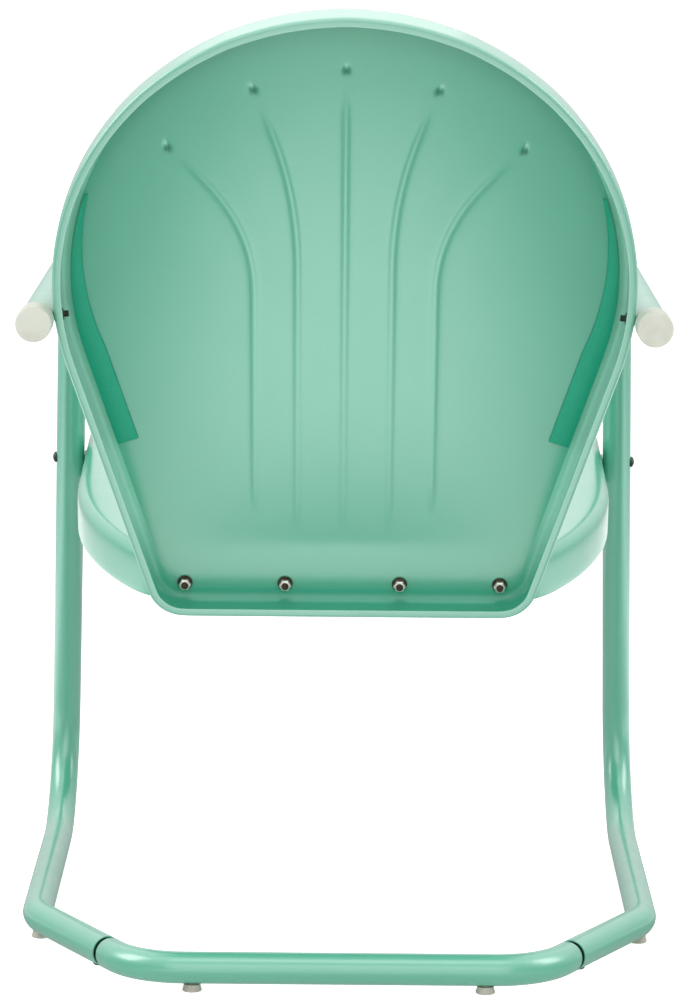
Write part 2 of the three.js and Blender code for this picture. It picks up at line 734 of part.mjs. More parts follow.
function add_caps_and_screws() {
  for (const [side, prefix] of SIDES) {
    const { arm_end, arm_corner } = side_corners(side);
    const rearward = arm_end.clone().sub(arm_corner).normalize();
    const seat_of_cap = arm_end.clone().addScaledVector(rearward, JOINT_GAP);
    add_piece(`${prefix}_arm_cap`, aim(arm_cap(), seat_of_cap, rearward), CAP_PLASTIC);
    const screw = joint_screw_place(side);
    screw.z -= TUBE_RADIUS + JOINT_GAP;
    const shape = bolt(SCREW_RADIUS, SCREW_HEAD_RADIUS, SCREW_HEAD_HEIGHT, SCREW_LENGTH);
    add_piece(`${prefix}_joint_screw`, aim(shape, screw, Z_AXIS), DARK_STEEL);
  }
}

// Back shell

// The centre of the foot's round corner, where the tapered side ends.
const corner_rise = RIM_CORNER_RADIUS - RIM_CENTRE_HEIGHT;
const corner_centre_x =
  (RIM_HALF_WIDTH - RIM_CORNER_RADIUS + corner_rise * Math.sin(RIM_SIDE_TAPER)) / Math.cos(RIM_SIDE_TAPER);
const seat_bolt_outer_x = corner_centre_x + SEAT_BOLT_CORNER_GAP;

// A place on the rim's outline, drawn in by an inset. The parts run from the foot's middle to the top.
function rim_point(place, inset) {
  const corner_at = (angle) => [
    corner_centre_x + (RIM_CORNER_RADIUS - inset) * Math.cos(angle),
    RIM_CORNER_RADIUS + (RIM_CORNER_RADIUS - inset) * Math.sin(angle),
  ];
  const arc_at = (angle) => [
    (RIM_HALF_WIDTH - inset) * Math.cos(angle),
    RIM_CENTRE_HEIGHT + ((angle > 0 ? RIM_HEAD_RISE : RIM_HALF_WIDTH) - inset) * Math.sin(angle),
  ];
  if (place.part === "foot") {
    return [place.x, inset];
  }
  if (place.part === "corner") {
    return corner_at(place.angle);
  }
  if (place.part === "side") {
    const low = corner_at(-RIM_SIDE_TAPER);
    const high = arc_at(-RIM_SIDE_TAPER);
    return [lerp(low[0], high[0], place.share), lerp(low[1], high[1], place.share)];
  }
  return arc_at(place.angle);
}

// The rim's inner section, from the flange's edge to the panel, as [inset, depth from its rear plane].
function rim_profile() {
  const profile = [[FLANGE_WIDTH, SHEET]];
  const fold_centre = SHEET + FLANGE_FOLD_RADIUS;
  for (let i = 0; i <= FLANGE_FOLD_STEPS; i += 1) {
    const angle = (QUARTER_TURN * i) / FLANGE_FOLD_STEPS;
    profile.push([
      fold_centre - FLANGE_FOLD_RADIUS * Math.sin(angle),
      fold_centre - FLANGE_FOLD_RADIUS * Math.cos(angle),
    ]);
  }
  for (let i = 0; i <= RIM_FILLET_STEPS; i += 1) {
    const angle = (QUARTER_TURN * i) / RIM_FILLET_STEPS;
    profile.push([
      SHEET + RIM_FILLET_RADIUS * (1 - Math.cos(angle)),
      RIM_DEPTH - RIM_FILLET_RADIUS * (1 - Math.sin(angle)),
    ]);
  }
  return profile;
}

const PANEL_INSET = SHEET + RIM_FILLET_RADIUS;
const GRID_INSET = PANEL_INSET + PANEL_BAND;
const PANEL_RADIUS = RIM_HALF_WIDTH - PANEL_INSET;
const GRID_RADIUS = RIM_HALF_WIDTH - GRID_INSET;

// Half width of the panel at a height on the back.
function panel_half_width(height) {
  const tangent_height = RIM_CENTRE_HEIGHT - PANEL_RADIUS * Math.sin(RIM_SIDE_TAPER);
  if (height >= tangent_height) {
    const reach = height > RIM_CENTRE_HEIGHT ? RIM_HEAD_RISE - PANEL_INSET : PANEL_RADIUS;
    const rise = (height - RIM_CENTRE_HEIGHT) / reach;
    return PANEL_RADIUS * Math.sqrt(Math.max(1 - rise * rise, 0));
  }
  const tangent_width = PANEL_RADIUS * Math.cos(RIM_SIDE_TAPER);
  return tangent_width - (tangent_height - height) * Math.tan(RIM_SIDE_TAPER);
}

// Depth of the panel's rear face below the lip's rear plane, without the flutes.
function panel_depth(x, height) {
  const top = RIM_CENTRE_HEIGHT + RIM_HEAD_RISE - PANEL_INSET;
  if (height <= DISH_START_HEIGHT || height >= top) {
    return RIM_DEPTH;
  }
  const across = x / panel_half_width(height);
  const up = (2 * (height - DISH_START_HEIGHT)) / (top - DISH_START_HEIGHT) - 1;
  const fill = Math.max(1 - across * across, 0) * (1 - up * up);
  return RIM_DEPTH - DISH_DEPTH * fill;
}

// Flute spines, from start to end

function flute_spine(spacing, start_height, fan_height, low_pull, end_width, end_height, pull_x, pull_y) {
  const spine = new THREE.CurvePath();
  const fan_start = new THREE.Vector2(spacing, fan_height);
  const fan_end = new THREE.Vector2(end_width, end_height);
  spine.add(new THREE.LineCurve(new THREE.Vector2(spacing, start_height), fan_start));
  spine.add(
    new THREE.CubicBezierCurve(
      fan_start,
      new THREE.Vector2(spacing, fan_height + low_pull),
      new THREE.Vector2(end_width - pull_x, end_height - pull_y),
      fan_end,
    ),
  );
  return spine;
}

const spines = [
  {
    foot_x: 0,
    head_angle: QUARTER_TURN,
    path: new THREE.LineCurve(
      new THREE.Vector2(0, CENTRE_FLUTE_START_HEIGHT),
      new THREE.Vector2(0, CENTRE_FLUTE_END_HEIGHT),
    ),
  },
  {
    foot_x: INNER_FLUTE_HALF_SPACING,
    head_angle: INNER_HEAD_ANGLE,
    path: flute_spine(
      INNER_FLUTE_HALF_SPACING,
      CENTRE_FLUTE_START_HEIGHT,
      INNER_FLUTE_FAN_HEIGHT,
      INNER_FLUTE_LOWER_PULL,
      INNER_FLUTE_END_HALF_WIDTH,
      INNER_FLUTE_END_HEIGHT,
      INNER_FLUTE_UPPER_PULL_ACROSS,
      INNER_FLUTE_UPPER_PULL_DOWN,
    ),
  },
  {
    foot_x: OUTER_FLUTE_HALF_SPACING,
    head_angle: OUTER_HEAD_ANGLE,
    path: flute_spine(
      OUTER_FLUTE_HALF_SPACING,
      OUTER_FLUTE_START_HEIGHT,
      OUTER_FLUTE_FAN_HEIGHT,
      OUTER_FLUTE_LOWER_PULL,
      OUTER_FLUTE_END_HALF_WIDTH,
      OUTER_FLUTE_END_HEIGHT,
      OUTER_FLUTE_UPPER_PULL_ACROSS,
      OUTER_FLUTE_UPPER_PULL_DOWN,
    ),
  },
];

// A row is a stretch of the panel and a share of it.
const rows = [
  ...FOOT_ROW_SHARES.map((share) => ({ stretch: "foot", share, rise: 0 })),
  ...FLUTE_ROW_SHARES.map((share) => ({ stretch: "flute", share, rise: share > 0 ? 1 : 0 })),
  ...HEAD_ROW_SHARES.map((share) => ({ stretch: "head", share, rise: 0 })),
];

// A point on a flute's line, moved aside by an offset, for one row.
function spine_point(spine, offset, row) {
  if (row.stretch === "flute") {
    const middle = spine.path.getPointAt(row.share);
    const tangent = spine.path.getTangentAt(row.share);
    return new THREE.Vector2(middle.x + tangent.y * offset, middle.y - tangent.x * offset);
  }
  if (row.stretch === "foot") {
    const foot = new THREE.Vector2(spine.foot_x + offset, GRID_INSET);
    return foot.lerp(spine_point(spine, offset, { stretch: "flute", share: 0 }), row.share);
  }
  const [x, y] = rim_point({ part: "arc", angle: spine.head_angle - offset / GRID_RADIUS }, GRID_INSET);
  const flute_end = spine_point(spine, offset, { stretch: "flute", share: 1 });
  return flute_end.lerp(new THREE.Vector2(x, y), row.share);
}

// Places on the panel's edge beside each row, from the foot's corner up to the patch's top corner.
const corner_middle_angle = -(QUARTER_TURN + RIM_SIDE_TAPER) / 2;

function side_place(row) {
  if (row.stretch === "foot") {
    const spot = FOOT_ROW_SHARES.indexOf(row.share) / (FOOT_ROW_SHARES.length - 1);
    return { part: "corner", angle: lerp(corner_middle_angle, -RIM_SIDE_TAPER, spot) };
  }
  if (row.stretch === "head") {
    return { part: "arc", angle: lerp(SIDE_FLUTE_END_ANGLE, PATCH_CORNER_ANGLE, row.share) };
  }
  const low = rim_point({ part: "side", share: 0 }, GRID_INSET)[1];
  const high = rim_point({ part: "side", share: 1 }, GRID_INSET)[1];
  const line_length = (high - SIDE_FOOT_START_HEIGHT) / Math.cos(RIM_SIDE_TAPER);
  const arc_length = GRID_RADIUS * (RIM_SIDE_TAPER + SIDE_FLUTE_END_ANGLE);
  const travel = row.share * (line_length + arc_length);
  if (travel < line_length) {
    const height = SIDE_FOOT_START_HEIGHT + travel * Math.cos(RIM_SIDE_TAPER);
    return { part: "side", share: (height - low) / (high - low) };
  }
  return { part: "arc", angle: -RIM_SIDE_TAPER + (travel - line_length) / GRID_RADIUS };
}

// Columns of the right half, from the middle out. Each gives its panel-edge places and its inner points.
function half_columns() {
  const columns = [];
  const add_spine_columns = (spine, offsets) => {
    for (const offset of offsets) {
      columns.push({
        crest: Math.abs(offset) === FLUTE_HALF_CREST ? 1 : 0,
        foot: { part: "foot", x: spine.foot_x + offset },
        head: { part: "arc", angle: spine.head_angle - offset / GRID_RADIUS },
        inner: (row) => spine_point(spine, offset, row),
      });
    }
  };
  const add_gap_column = (left, right) => {
    columns.push({
      crest: 0,
      foot: { part: "foot", x: (left.foot_x + right.foot_x) / 2 },
      head: { part: "arc", angle: (left.head_angle + right.head_angle) / 2 },
      inner: (row) =>
        spine_point(left, FLUTE_HALF_WIDTH, row).lerp(spine_point(right, -FLUTE_HALF_WIDTH, row), 1 / 2),
    });
  };
  const both = [-FLUTE_HALF_WIDTH, -FLUTE_HALF_CREST, FLUTE_HALF_CREST, FLUTE_HALF_WIDTH];
  add_spine_columns(spines[0], [FLUTE_HALF_CREST, FLUTE_HALF_WIDTH]);
  add_gap_column(spines[0], spines[1]);
  add_spine_columns(spines[1], both);
  add_gap_column(spines[1], spines[2]);
  add_spine_columns(spines[2], both);
  const outer = spines[2];
  const foot_places = [
    { part: "foot", x: (outer.foot_x + FLUTE_HALF_WIDTH + corner_centre_x) / 2 },
    { part: "foot", x: corner_centre_x },
    { part: "corner", angle: (corner_middle_angle - QUARTER_TURN) / 2 },
  ];
  SIDE_COLUMN_SHARES.forEach((share, i) => {
    columns.push({
      crest: 0,
      foot: foot_places[i],
      head: {
        part: "arc",
        angle: lerp(outer.head_angle - FLUTE_HALF_WIDTH / GRID_RADIUS, PATCH_CORNER_ANGLE, share),
      },
      inner: (row) => {
        const [x, y] = rim_point(side_place(row), GRID_INSET);
        return spine_point(outer, FLUTE_HALF_WIDTH, row).lerp(new THREE.Vector2(x, y), share);
      },
    });
  });
  return columns;
}

// Even places all round the rim, from the foot's middle, counter-clockwise as the sitter sees them
function rim_places() {
  const half = [];
  for (let i = 1; i <= FOOT_STEPS; i += 1) {
    half.push({ part: "foot", x: (corner_centre_x * i) / FOOT_STEPS });
  }
  for (let i = 1; i < CORNER_STEPS; i += 1) {
    half.push({ part: "corner", angle: lerp(-QUARTER_TURN, -RIM_SIDE_TAPER, i / CORNER_STEPS) });
  }
  for (let i = 0; i < SIDE_STEPS; i += 1) {
    half.push({ part: "side", share: i / SIDE_STEPS });
  }
  for (let i = 0; i < HEAD_STEPS; i += 1) {
    half.push({ part: "arc", angle: lerp(-RIM_SIDE_TAPER, QUARTER_TURN, i / HEAD_STEPS) });
  }
  return [
    { place: { part: "foot", x: 0 }, mirror: 1 },
    ...half.map((place) => ({ place, mirror: 1 })),
    { place: { part: "arc", angle: QUARTER_TURN }, mirror: 1 },
    ...[...half].reverse().map((place) => ({ place, mirror: -1 })),
  ];
}

function back_shell() {
  const half = half_columns();
  const last_row = rows.length - 1;
  const points = [];
  const grid = [];
  const add_point = (x, y, depth) => points.push(new THREE.Vector3(x, y, depth)) - 1;
  rows.forEach((row, r) => {
    const edge = rim_point(side_place(row), GRID_INSET);
    const make = (column, mirror) => {
      if (r === 0 || r === last_row) {
        const [x, y] = rim_point(r === 0 ? column.foot : column.head, GRID_INSET);
        return add_point(mirror * x, y, panel_depth(x, y));
      }
      const at = column.inner(row);
      const depth = panel_depth(at.x, at.y) - FLUTE_RISE * column.crest * row.rise;
      return add_point(mirror * at.x, at.y, depth);
    };
    grid.push([
      add_point(-edge[0], edge[1], panel_depth(edge[0], edge[1])),
      ...[...half].reverse().map((column) => make(column, -1)),
      ...half.map((column) => make(column, 1)),
      add_point(edge[0], edge[1], panel_depth(edge[0], edge[1])),
    ]);
  });
  const faces = [];
  for (let r = 0; r < last_row; r += 1) {
    for (let c = 0; c + 1 < grid[r].length; c += 1) {
      const [a, b, d, e] = [grid[r][c], grid[r][c + 1], grid[r + 1][c + 1], grid[r + 1][c]];
      faces.push([a, d, b], [a, e, d]);
    }
  }
  const grid_edge = [...grid[0], ...grid[last_row]];
  for (const line of grid.slice(1, last_row)) {
    grid_edge.push(line[0], line[line.length - 1]);
  }
  const places = rim_places();
  const profile_loops = rim_profile().map(([inset, depth]) =>
    places.map(({ place, mirror }) => {
      const [x, y] = rim_point(place, inset);
      return add_point(mirror * x, y, depth);
    }),
  );
  const centre = new THREE.Vector2(0, RIM_CENTRE_HEIGHT);
  faces.push(...zip_faces(points, grid_edge, profile_loops[profile_loops.length - 1], centre));
  for (let i = 0; i + 1 < profile_loops.length; i += 1) {
    faces.push(...loop_faces(profile_loops[i + 1], profile_loops[i]));
  }
  const shell = thick_sheet(points, faces, SHEET).applyMatrix4(back_frame);
  const holes = [];
  const front = back_direction(0, 0, 1);
  for (const x of seat_bolt_columns()) {
    const point = new THREE.Vector3(x, SEAT_BOLT_HEIGHT, RIM_DEPTH).applyMatrix4(back_frame);
    holes.push(hole_through(point, front, BOLT_HEAD_RADIUS, HOLE_RADIUS));
  }
  for (const [side] of SIDES) {
    const arm_bolt = arm_bolt_place(side);
    const wall = arm_bolt.centre.clone().addScaledVector(arm_bolt.inward, ARM_RUN_TO_RIM);
    holes.push(hole_through(wall, arm_bolt.inward, BOLT_HEAD_RADIUS, HOLE_RADIUS));
  }
  return drill(shell, holes);
}

function seat_bolt_columns() {
  return [
    seat_bolt_outer_x,
    SEAT_BOLT_INNER_HALF_SPACING,
    -SEAT_BOLT_INNER_HALF_SPACING,
    -seat_bolt_outer_x,
  ];
}

// Stiffeners: a strap along the panel's edge, its outer edge standing off, drawn in at its upper end

function stiffener(side) {
  const low = rim_point({ part: "side", share: 0 }, 0)[1];
  const high = rim_point({ part: "side", share: 1 }, 0)[1];
  const low_share = (STIFFENER_LOW_HEIGHT - low) / (high - low);
  const places = [];
  for (let i = 0; i < STIFFENER_LINE_STEPS; i += 1) {
    places.push({ part: "side", share: lerp(low_share, 1, i / STIFFENER_LINE_STEPS) });
  }
  for (let i = 0; i <= STIFFENER_ARC_STEPS; i += 1) {
    const angle = lerp(-RIM_SIDE_TAPER, STIFFENER_TOP_ANGLE, i / STIFFENER_ARC_STEPS);
    places.push({ part: "arc", angle });
  }
  const sections = places.map((place, i) => {
    const narrowing = Math.max((i - STIFFENER_LINE_STEPS) / STIFFENER_ARC_STEPS, 0);
    const width = STIFFENER_WIDTH * lerp(1, STIFFENER_TIP_SHARE, narrowing);
    const [outer_x, outer_y] = rim_point(place, STIFFENER_INSET);
    const [inner_x, inner_y] = rim_point(place, STIFFENER_INSET + width);
    const inner_depth = panel_depth(inner_x, inner_y) - STIFFENER_EASE;
    const outer_depth = panel_depth(outer_x, outer_y) - STIFFENER_EASE - STIFFENER_RISE;
    return [
      new THREE.Vector3(side * outer_x, outer_y, outer_depth),
      new THREE.Vector3(side * inner_x, inner_y, inner_depth),
      new THREE.Vector3(side * inner_x, inner_y, inner_depth - STIFFENER_THICKNESS),
      new THREE.Vector3(side * outer_x, outer_y, outer_depth - STIFFENER_THICKNESS),
    ];
  });
  return ring_loft(sections, false).applyMatrix4(back_frame);
}

// Seat pan

// Right half of the seat's outline, as [x, distance ahead of the rear edge], from rear to front.
function seat_half_outline() {
  const arc_centre_x = SEAT_HALF_WIDTH - SEAT_SIDE_ARC_RADIUS;
  const rear_rise = SEAT_WIDEST_DEPTH - SEAT_REAR_CORNER_DEPTH;
  const arc_start = -Math.asin(rear_rise / SEAT_SIDE_ARC_RADIUS);
  const corner_tip_x = arc_centre_x + Math.sqrt(SEAT_SIDE_ARC_RADIUS ** 2 - SEAT_WIDEST_DEPTH ** 2);
  const arc_start_x = arc_centre_x + SEAT_SIDE_ARC_RADIUS * Math.cos(arc_start);
  const front_x = SEAT_HALF_WIDTH - SEAT_FRONT_CORNER_RADIUS;
  const front_y = SEAT_DEPTH - SEAT_FRONT_BOW - SEAT_FRONT_CORNER_RADIUS;
  const rear_corner = new THREE.Vector2(seat_bolt_outer_x + SEAT_STRAIGHT_END_LENGTH, 0);
  const pieces = [
    [new THREE.LineCurve(new THREE.Vector2(0, 0), rear_corner), REAR_LINE_STEPS],
    [
      new THREE.QuadraticBezierCurve(
        rear_corner,
        new THREE.Vector2(corner_tip_x, 0),
        new THREE.Vector2(arc_start_x, SEAT_REAR_CORNER_DEPTH),
      ),
      REAR_CORNER_STEPS,
    ],
    [
      new THREE.EllipseCurve(
        arc_centre_x,
        SEAT_WIDEST_DEPTH,
        SEAT_SIDE_ARC_RADIUS,
        SEAT_SIDE_ARC_RADIUS,
        arc_start,
        0,
      ),
      SIDE_ARC_STEPS,
    ],
    [
      new THREE.LineCurve(
        new THREE.Vector2(SEAT_HALF_WIDTH, SEAT_WIDEST_DEPTH),
        new THREE.Vector2(SEAT_HALF_WIDTH, front_y),
      ),
      SIDE_LINE_STEPS,
    ],
    [
      new THREE.EllipseCurve(
        front_x,
        front_y,
        SEAT_FRONT_CORNER_RADIUS,
        SEAT_FRONT_CORNER_RADIUS,
        0,
        QUARTER_TURN,
      ),
      FRONT_CORNER_STEPS,
    ],
    [
      new THREE.QuadraticBezierCurve(
        new THREE.Vector2(front_x, front_y + SEAT_FRONT_CORNER_RADIUS),
        new THREE.Vector2(front_x / 2, SEAT_DEPTH),
        new THREE.Vector2(0, SEAT_DEPTH),
      ),
      FRONT_EDGE_STEPS,
    ],
  ];
  const outline = [];
  for (const [curve, steps] of pieces) {
    for (let i = 0; i < steps; i += 1) {
      outline.push(curve.getPoint(i / steps));
    }
  }
  outline.push(new THREE.Vector2(0, SEAT_DEPTH));
  return outline;
}

function seat_pan() {
  const half = seat_half_outline();
  const mirrored = half.slice(1, -1).reverse().map((p) => new THREE.Vector2(-p.x, p.y));
  const outline = [...half, ...mirrored];
  const normals = outline.map((point, i) => {
    const before = outline[(i + outline.length - 1) % outline.length];
    const after = outline[(i + 1) % outline.length];
    const run = after.clone().sub(before).normalize();
    return new THREE.Vector2(run.y, -run.x);
  });
  const lean = Math.tan(BACK_RECLINE - SEAT_TILT);
  // The skirt leans with the back at the rear and stands square elsewhere.
  const skirt_point = (i, inset, drop) => {
    const forward = drop * lean * Math.max(-normals[i].y, 0) ** 2;
    const x = outline[i].x - normals[i].x * inset;
    return new THREE.Vector3(x, -(outline[i].y - normals[i].y * inset) - forward, -drop);
  };
  const centre_y = -SEAT_DEPTH * SEAT_CENTRE_SHARE;
  const inner_point = (i, scale, drop) => {
    const edge = skirt_point(i, SKIRT_ROLL_RADIUS, 0);
    return new THREE.Vector3(edge.x * scale, lerp(centre_y, edge.y, scale), -drop);
  };
  const rings = [
    [SKIRT_FLANGE_WIDTH, SKIRT_HEIGHT],
    [SHEET, SKIRT_HEIGHT],
    [0, SKIRT_HEIGHT - SHEET],
  ];
  for (let i = 0; i <= SKIRT_ROLL_STEPS; i += 1) {
    const angle = (QUARTER_TURN * i) / SKIRT_ROLL_STEPS;
    rings.push([SKIRT_ROLL_RADIUS * (1 - Math.cos(angle)), SKIRT_ROLL_RADIUS * (1 - Math.sin(angle))]);
  }
  const loops = rings.map(([inset, drop]) => outline.map((p, i) => skirt_point(i, inset, drop)));
  loops.push(outline.map((p, i) => inner_point(i, SEAT_BORDER_SCALE, 0)));
  loops.push(outline.map((p, i) => inner_point(i, SEAT_STEP_SCALE, SEAT_STEP_DEPTH)));
  for (const scale of SEAT_DISH_SCALES) {
    const fill = 1 - (scale / SEAT_STEP_SCALE) ** 2;
    const drop = lerp(SEAT_STEP_DEPTH, SEAT_DISH_DEPTH, fill);
    loops.push(outline.map((p, i) => inner_point(i, scale, drop)));
  }
  const sides = outline.length;
  const points = loops.flat();
  points.push(new THREE.Vector3(0, centre_y, -SEAT_DISH_DEPTH));
  const faces = [];
  const indices = loops.map((loop, r) => loop.map((p, i) => r * sides + i));
  for (let r = 0; r + 1 < loops.length; r += 1) {
    faces.push(...loop_faces(indices[r + 1], indices[r]));
  }
  const innermost = indices[indices.length - 1];
  innermost.forEach((a, i) => faces.push([points.length - 1, innermost[(i + 1) % sides], a]));
  const pan = thick_sheet(points, faces, SHEET).applyMatrix4(seat_frame);
  const holes = [];
  const front = back_direction(0, 0, 1);
  for (const x of seat_bolt_columns()) {
    const point = new THREE.Vector3(x, SEAT_BOLT_HEIGHT, RIM_DEPTH + SHEET).applyMatrix4(back_frame);
    holes.push(hole_through(point, front, BOLT_HEAD_RADIUS, HOLE_RADIUS));
  }
  for (const [side] of SIDES) {
    const leg_bolt = leg_bolt_place(side);
    const skirt = leg_bolt.centre.clone().setX(side * SEAT_HALF_WIDTH);
    holes.push(hole_through(skirt, leg_bolt.inward, BOLT_HEAD_RADIUS, HOLE_RADIUS));
  }
  return drill(pan, holes);
}

// Fasteners

// Bolts through the back's foot and the seat's rear skirt, heads to the front, nuts to the rear.
function add_seat_bolts() {
  const rearward = back_direction(0, 0, -1);
  const sheets = 2 * SHEET + JOINT_GAP;
  const washer_depth = RIM_DEPTH - JOINT_GAP;
  const nut_depth = washer_depth - WASHER_THICKNESS - JOINT_GAP;
  const head_depth = RIM_DEPTH + sheets + JOINT_GAP;
  const length = head_depth - nut_depth + NUT_THICKNESS + BOLT_OVERHANG;
  seat_bolt_columns().forEach((x, i) => {
    const at = (depth) => new THREE.Vector3(x, SEAT_BOLT_HEIGHT, depth).applyMatrix4(back_frame);
    const shape = bolt(BOLT_RADIUS, BOLT_HEAD_RADIUS, BOLT_HEAD_HEIGHT, length);
    const washer = ring_piece(WASHER_RADIUS, HOLE_RADIUS, WASHER_THICKNESS);
    add_piece(`seat_bolt_${i + 1}`, aim(shape, at(head_depth), rearward), ZINC);
    add_piece(`seat_washer_${i + 1}`, aim(washer, at(washer_depth), rearward), ZINC);
    add_piece(`seat_nut_${i + 1}`, aim(nut(), at(nut_depth), rearward), ZINC);
  });
}

// A bolt from outside a side tube, a spacer between the tube and a sheet, and a nut behind the sheet.
function add_side_bolt(prefix, kind, place, to_sheet, spacer_radius, overhang) {
  const { centre, inward } = place;
  const at = (distance) => centre.clone().addScaledVector(inward, distance);
  const head_at = -(TUBE_RADIUS + JOINT_GAP);
  const spacer_at = TUBE_RADIUS + SPACER_EASE;
  const spacer_length = to_sheet - JOINT_GAP - spacer_at;
  const nut_at = to_sheet + SHEET + NUT_EASE;
  const length = nut_at + NUT_THICKNESS + overhang - head_at;
  const shape = bolt(BOLT_RADIUS, BOLT_HEAD_RADIUS, BOLT_HEAD_HEIGHT, length);
  const spacer = ring_piece(spacer_radius, HOLE_RADIUS, spacer_length);
  add_piece(`${prefix}_${kind}_bolt`, aim(shape, at(head_at), inward), DARK_STEEL);
  add_piece(`${prefix}_${kind}_spacer`, aim(spacer, at(spacer_at), inward), PAINT);
  add_piece(`${prefix}_${kind}_nut`, aim(nut(), at(nut_at), inward), DARK_STEEL);
}

function add_side_bolts() {
  for (const [side, prefix] of SIDES) {
    const leg = leg_bolt_place(side);
    add_side_bolt(prefix, "leg", leg, LEG_RUN_TO_SKIRT, LEG_SPACER_RADIUS, BOLT_OVERHANG);
    const arm = arm_bolt_place(side);
    add_side_bolt(prefix, "arm", arm, ARM_RUN_TO_RIM, ARM_SPACER_RADIUS, ARM_BOLT_OVERHANG);
  }
}

// The chair

add_piece("back_shell", back_shell(), PAINT);
add_piece("seat_pan", seat_pan(), PAINT);
for (const [side, prefix] of SIDES) {
  add_side_tubes(side, prefix);
  add_piece(`${prefix}_back_stiffener`, stiffener(side), PAINT);
}
add_piece("rear_cross_tube", cross_tube(), PAINT);
add_glides();
add_caps_and_screws();
add_seat_bolts();
add_side_bolts();

// The origin is on the floor below the middle of the chair's bounding box.
const bounds = new THREE.Box3().setFromObject(chair);
chair.position.y = -(bounds.min.y + bounds.max.y) / 2;

export default chair;
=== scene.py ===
from math import asin, atan2, ceil, cos, pi, radians, sin, sqrt, tan

import bmesh
import bpy
from mathutils import Matrix, Quaternion, Vector


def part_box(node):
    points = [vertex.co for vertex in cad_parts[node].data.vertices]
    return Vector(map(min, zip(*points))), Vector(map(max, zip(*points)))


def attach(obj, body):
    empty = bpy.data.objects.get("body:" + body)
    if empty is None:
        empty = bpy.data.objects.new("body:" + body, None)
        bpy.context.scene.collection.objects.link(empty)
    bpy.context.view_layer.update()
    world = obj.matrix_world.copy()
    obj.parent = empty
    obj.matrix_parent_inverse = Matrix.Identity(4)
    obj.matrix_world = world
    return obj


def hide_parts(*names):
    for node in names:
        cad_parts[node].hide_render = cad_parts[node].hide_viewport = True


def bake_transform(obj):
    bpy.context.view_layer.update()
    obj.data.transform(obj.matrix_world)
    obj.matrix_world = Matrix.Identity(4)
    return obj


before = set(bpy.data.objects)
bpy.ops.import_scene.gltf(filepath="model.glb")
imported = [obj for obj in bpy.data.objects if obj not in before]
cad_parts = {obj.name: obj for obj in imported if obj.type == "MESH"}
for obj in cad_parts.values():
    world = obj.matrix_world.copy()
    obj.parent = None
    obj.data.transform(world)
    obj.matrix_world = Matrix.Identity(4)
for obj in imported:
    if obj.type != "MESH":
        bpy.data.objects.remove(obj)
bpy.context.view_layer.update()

MM = 0.001
QUARTER_TURN = pi / 2
FULL_TURN = 2 * pi
SIDES = ((1, "left"), (-1, "right"))

# Tubes
TUBE_RADIUS = 14 * MM
TUBE_WALL = 1.5 * MM
TUBE_SIDES = 40
TUBE_END_ROUNDING = 0.4 * MM
TUBE_INSIDE_SEEN = 30 * MM
BEND_STEP = radians(4)
STRAIGHT_STEP = 45 * MM
JOINT_GAP = 0.3 * MM

# Side tube: the corners of its route, as half width, distance ahead of the cross tube, and height
TUBE_CENTRE_HEIGHT = 20.5 * MM
ARM_END = (267.96 * MM, 33.04 * MM, 579.01 * MM)
ARM_CORNER = (264.56 * MM, 445 * MM, 611 * MM)
SPRING_CORNER = (288 * MM, 636 * MM, TUBE_CENTRE_HEIGHT)
REAR_CORNER = (279 * MM, 180 * MM, TUBE_CENTRE_HEIGHT)
SLEEVE_END = (206 * MM, 52 * MM, TUBE_CENTRE_HEIGHT)
ARM_BEND_RADIUS = 75 * MM
SPRING_BEND_RADIUS = 95 * MM
REAR_BEND_RADIUS = 80 * MM

# Cross tube, drawn down at both ends to slide into the side tubes
CROSS_BEND_RADIUS = 70 * MM
SWAGE_TAPER_LENGTH = 7 * MM
SWAGE_TAPER_STEPS = 4
SWAGE_SHOULDER_RADIUS = 12.9 * MM
JOINT_GROOVE_WIDTH = 4.2 * MM
JOINT_GROOVE_SLOPE = 0.2 * MM
JOINT_GROOVE_RADIUS = 8 * MM
JOINT_GROOVE_DEPTH = 5 * MM
SPIGOT_RADIUS = 12.2 * MM
SPIGOT_LENGTH = 42 * MM
# Painted shade: the groove before the mouth and the spigot take dark steel, so the joint's gap shows dark
JOINT_SHADE_FINISH = 1
SCREW_SETBACK = 18 * MM

# Glides and arm caps
GLIDE_RADIUS = 8.5 * MM
GLIDE_HEIGHT = 6.2 * MM
GLIDE_EDGE = 1.2 * MM
GLIDE_COLLAR_RADIUS = 7.4 * MM
GLIDE_COLLAR_HEIGHT = 1 * MM
GLIDE_STEM_RADIUS = 3.6 * MM
GLIDE_STEM_TOP = 11 * MM
CAP_RADIUS = 15.8 * MM
CAP_LIP_LENGTH = 1.6 * MM
CAP_END_THICKNESS = 3 * MM
CAP_EDGE_RADIUS = 1.8 * MM
CAP_LENGTH = 24 * MM
CAP_CROWN = 0.5 * MM
CAP_CROWN_SHARE = 0.75
CAP_BORE = 14.2 * MM
SPUN_STEPS = 48
CORNER_STEPS = 5

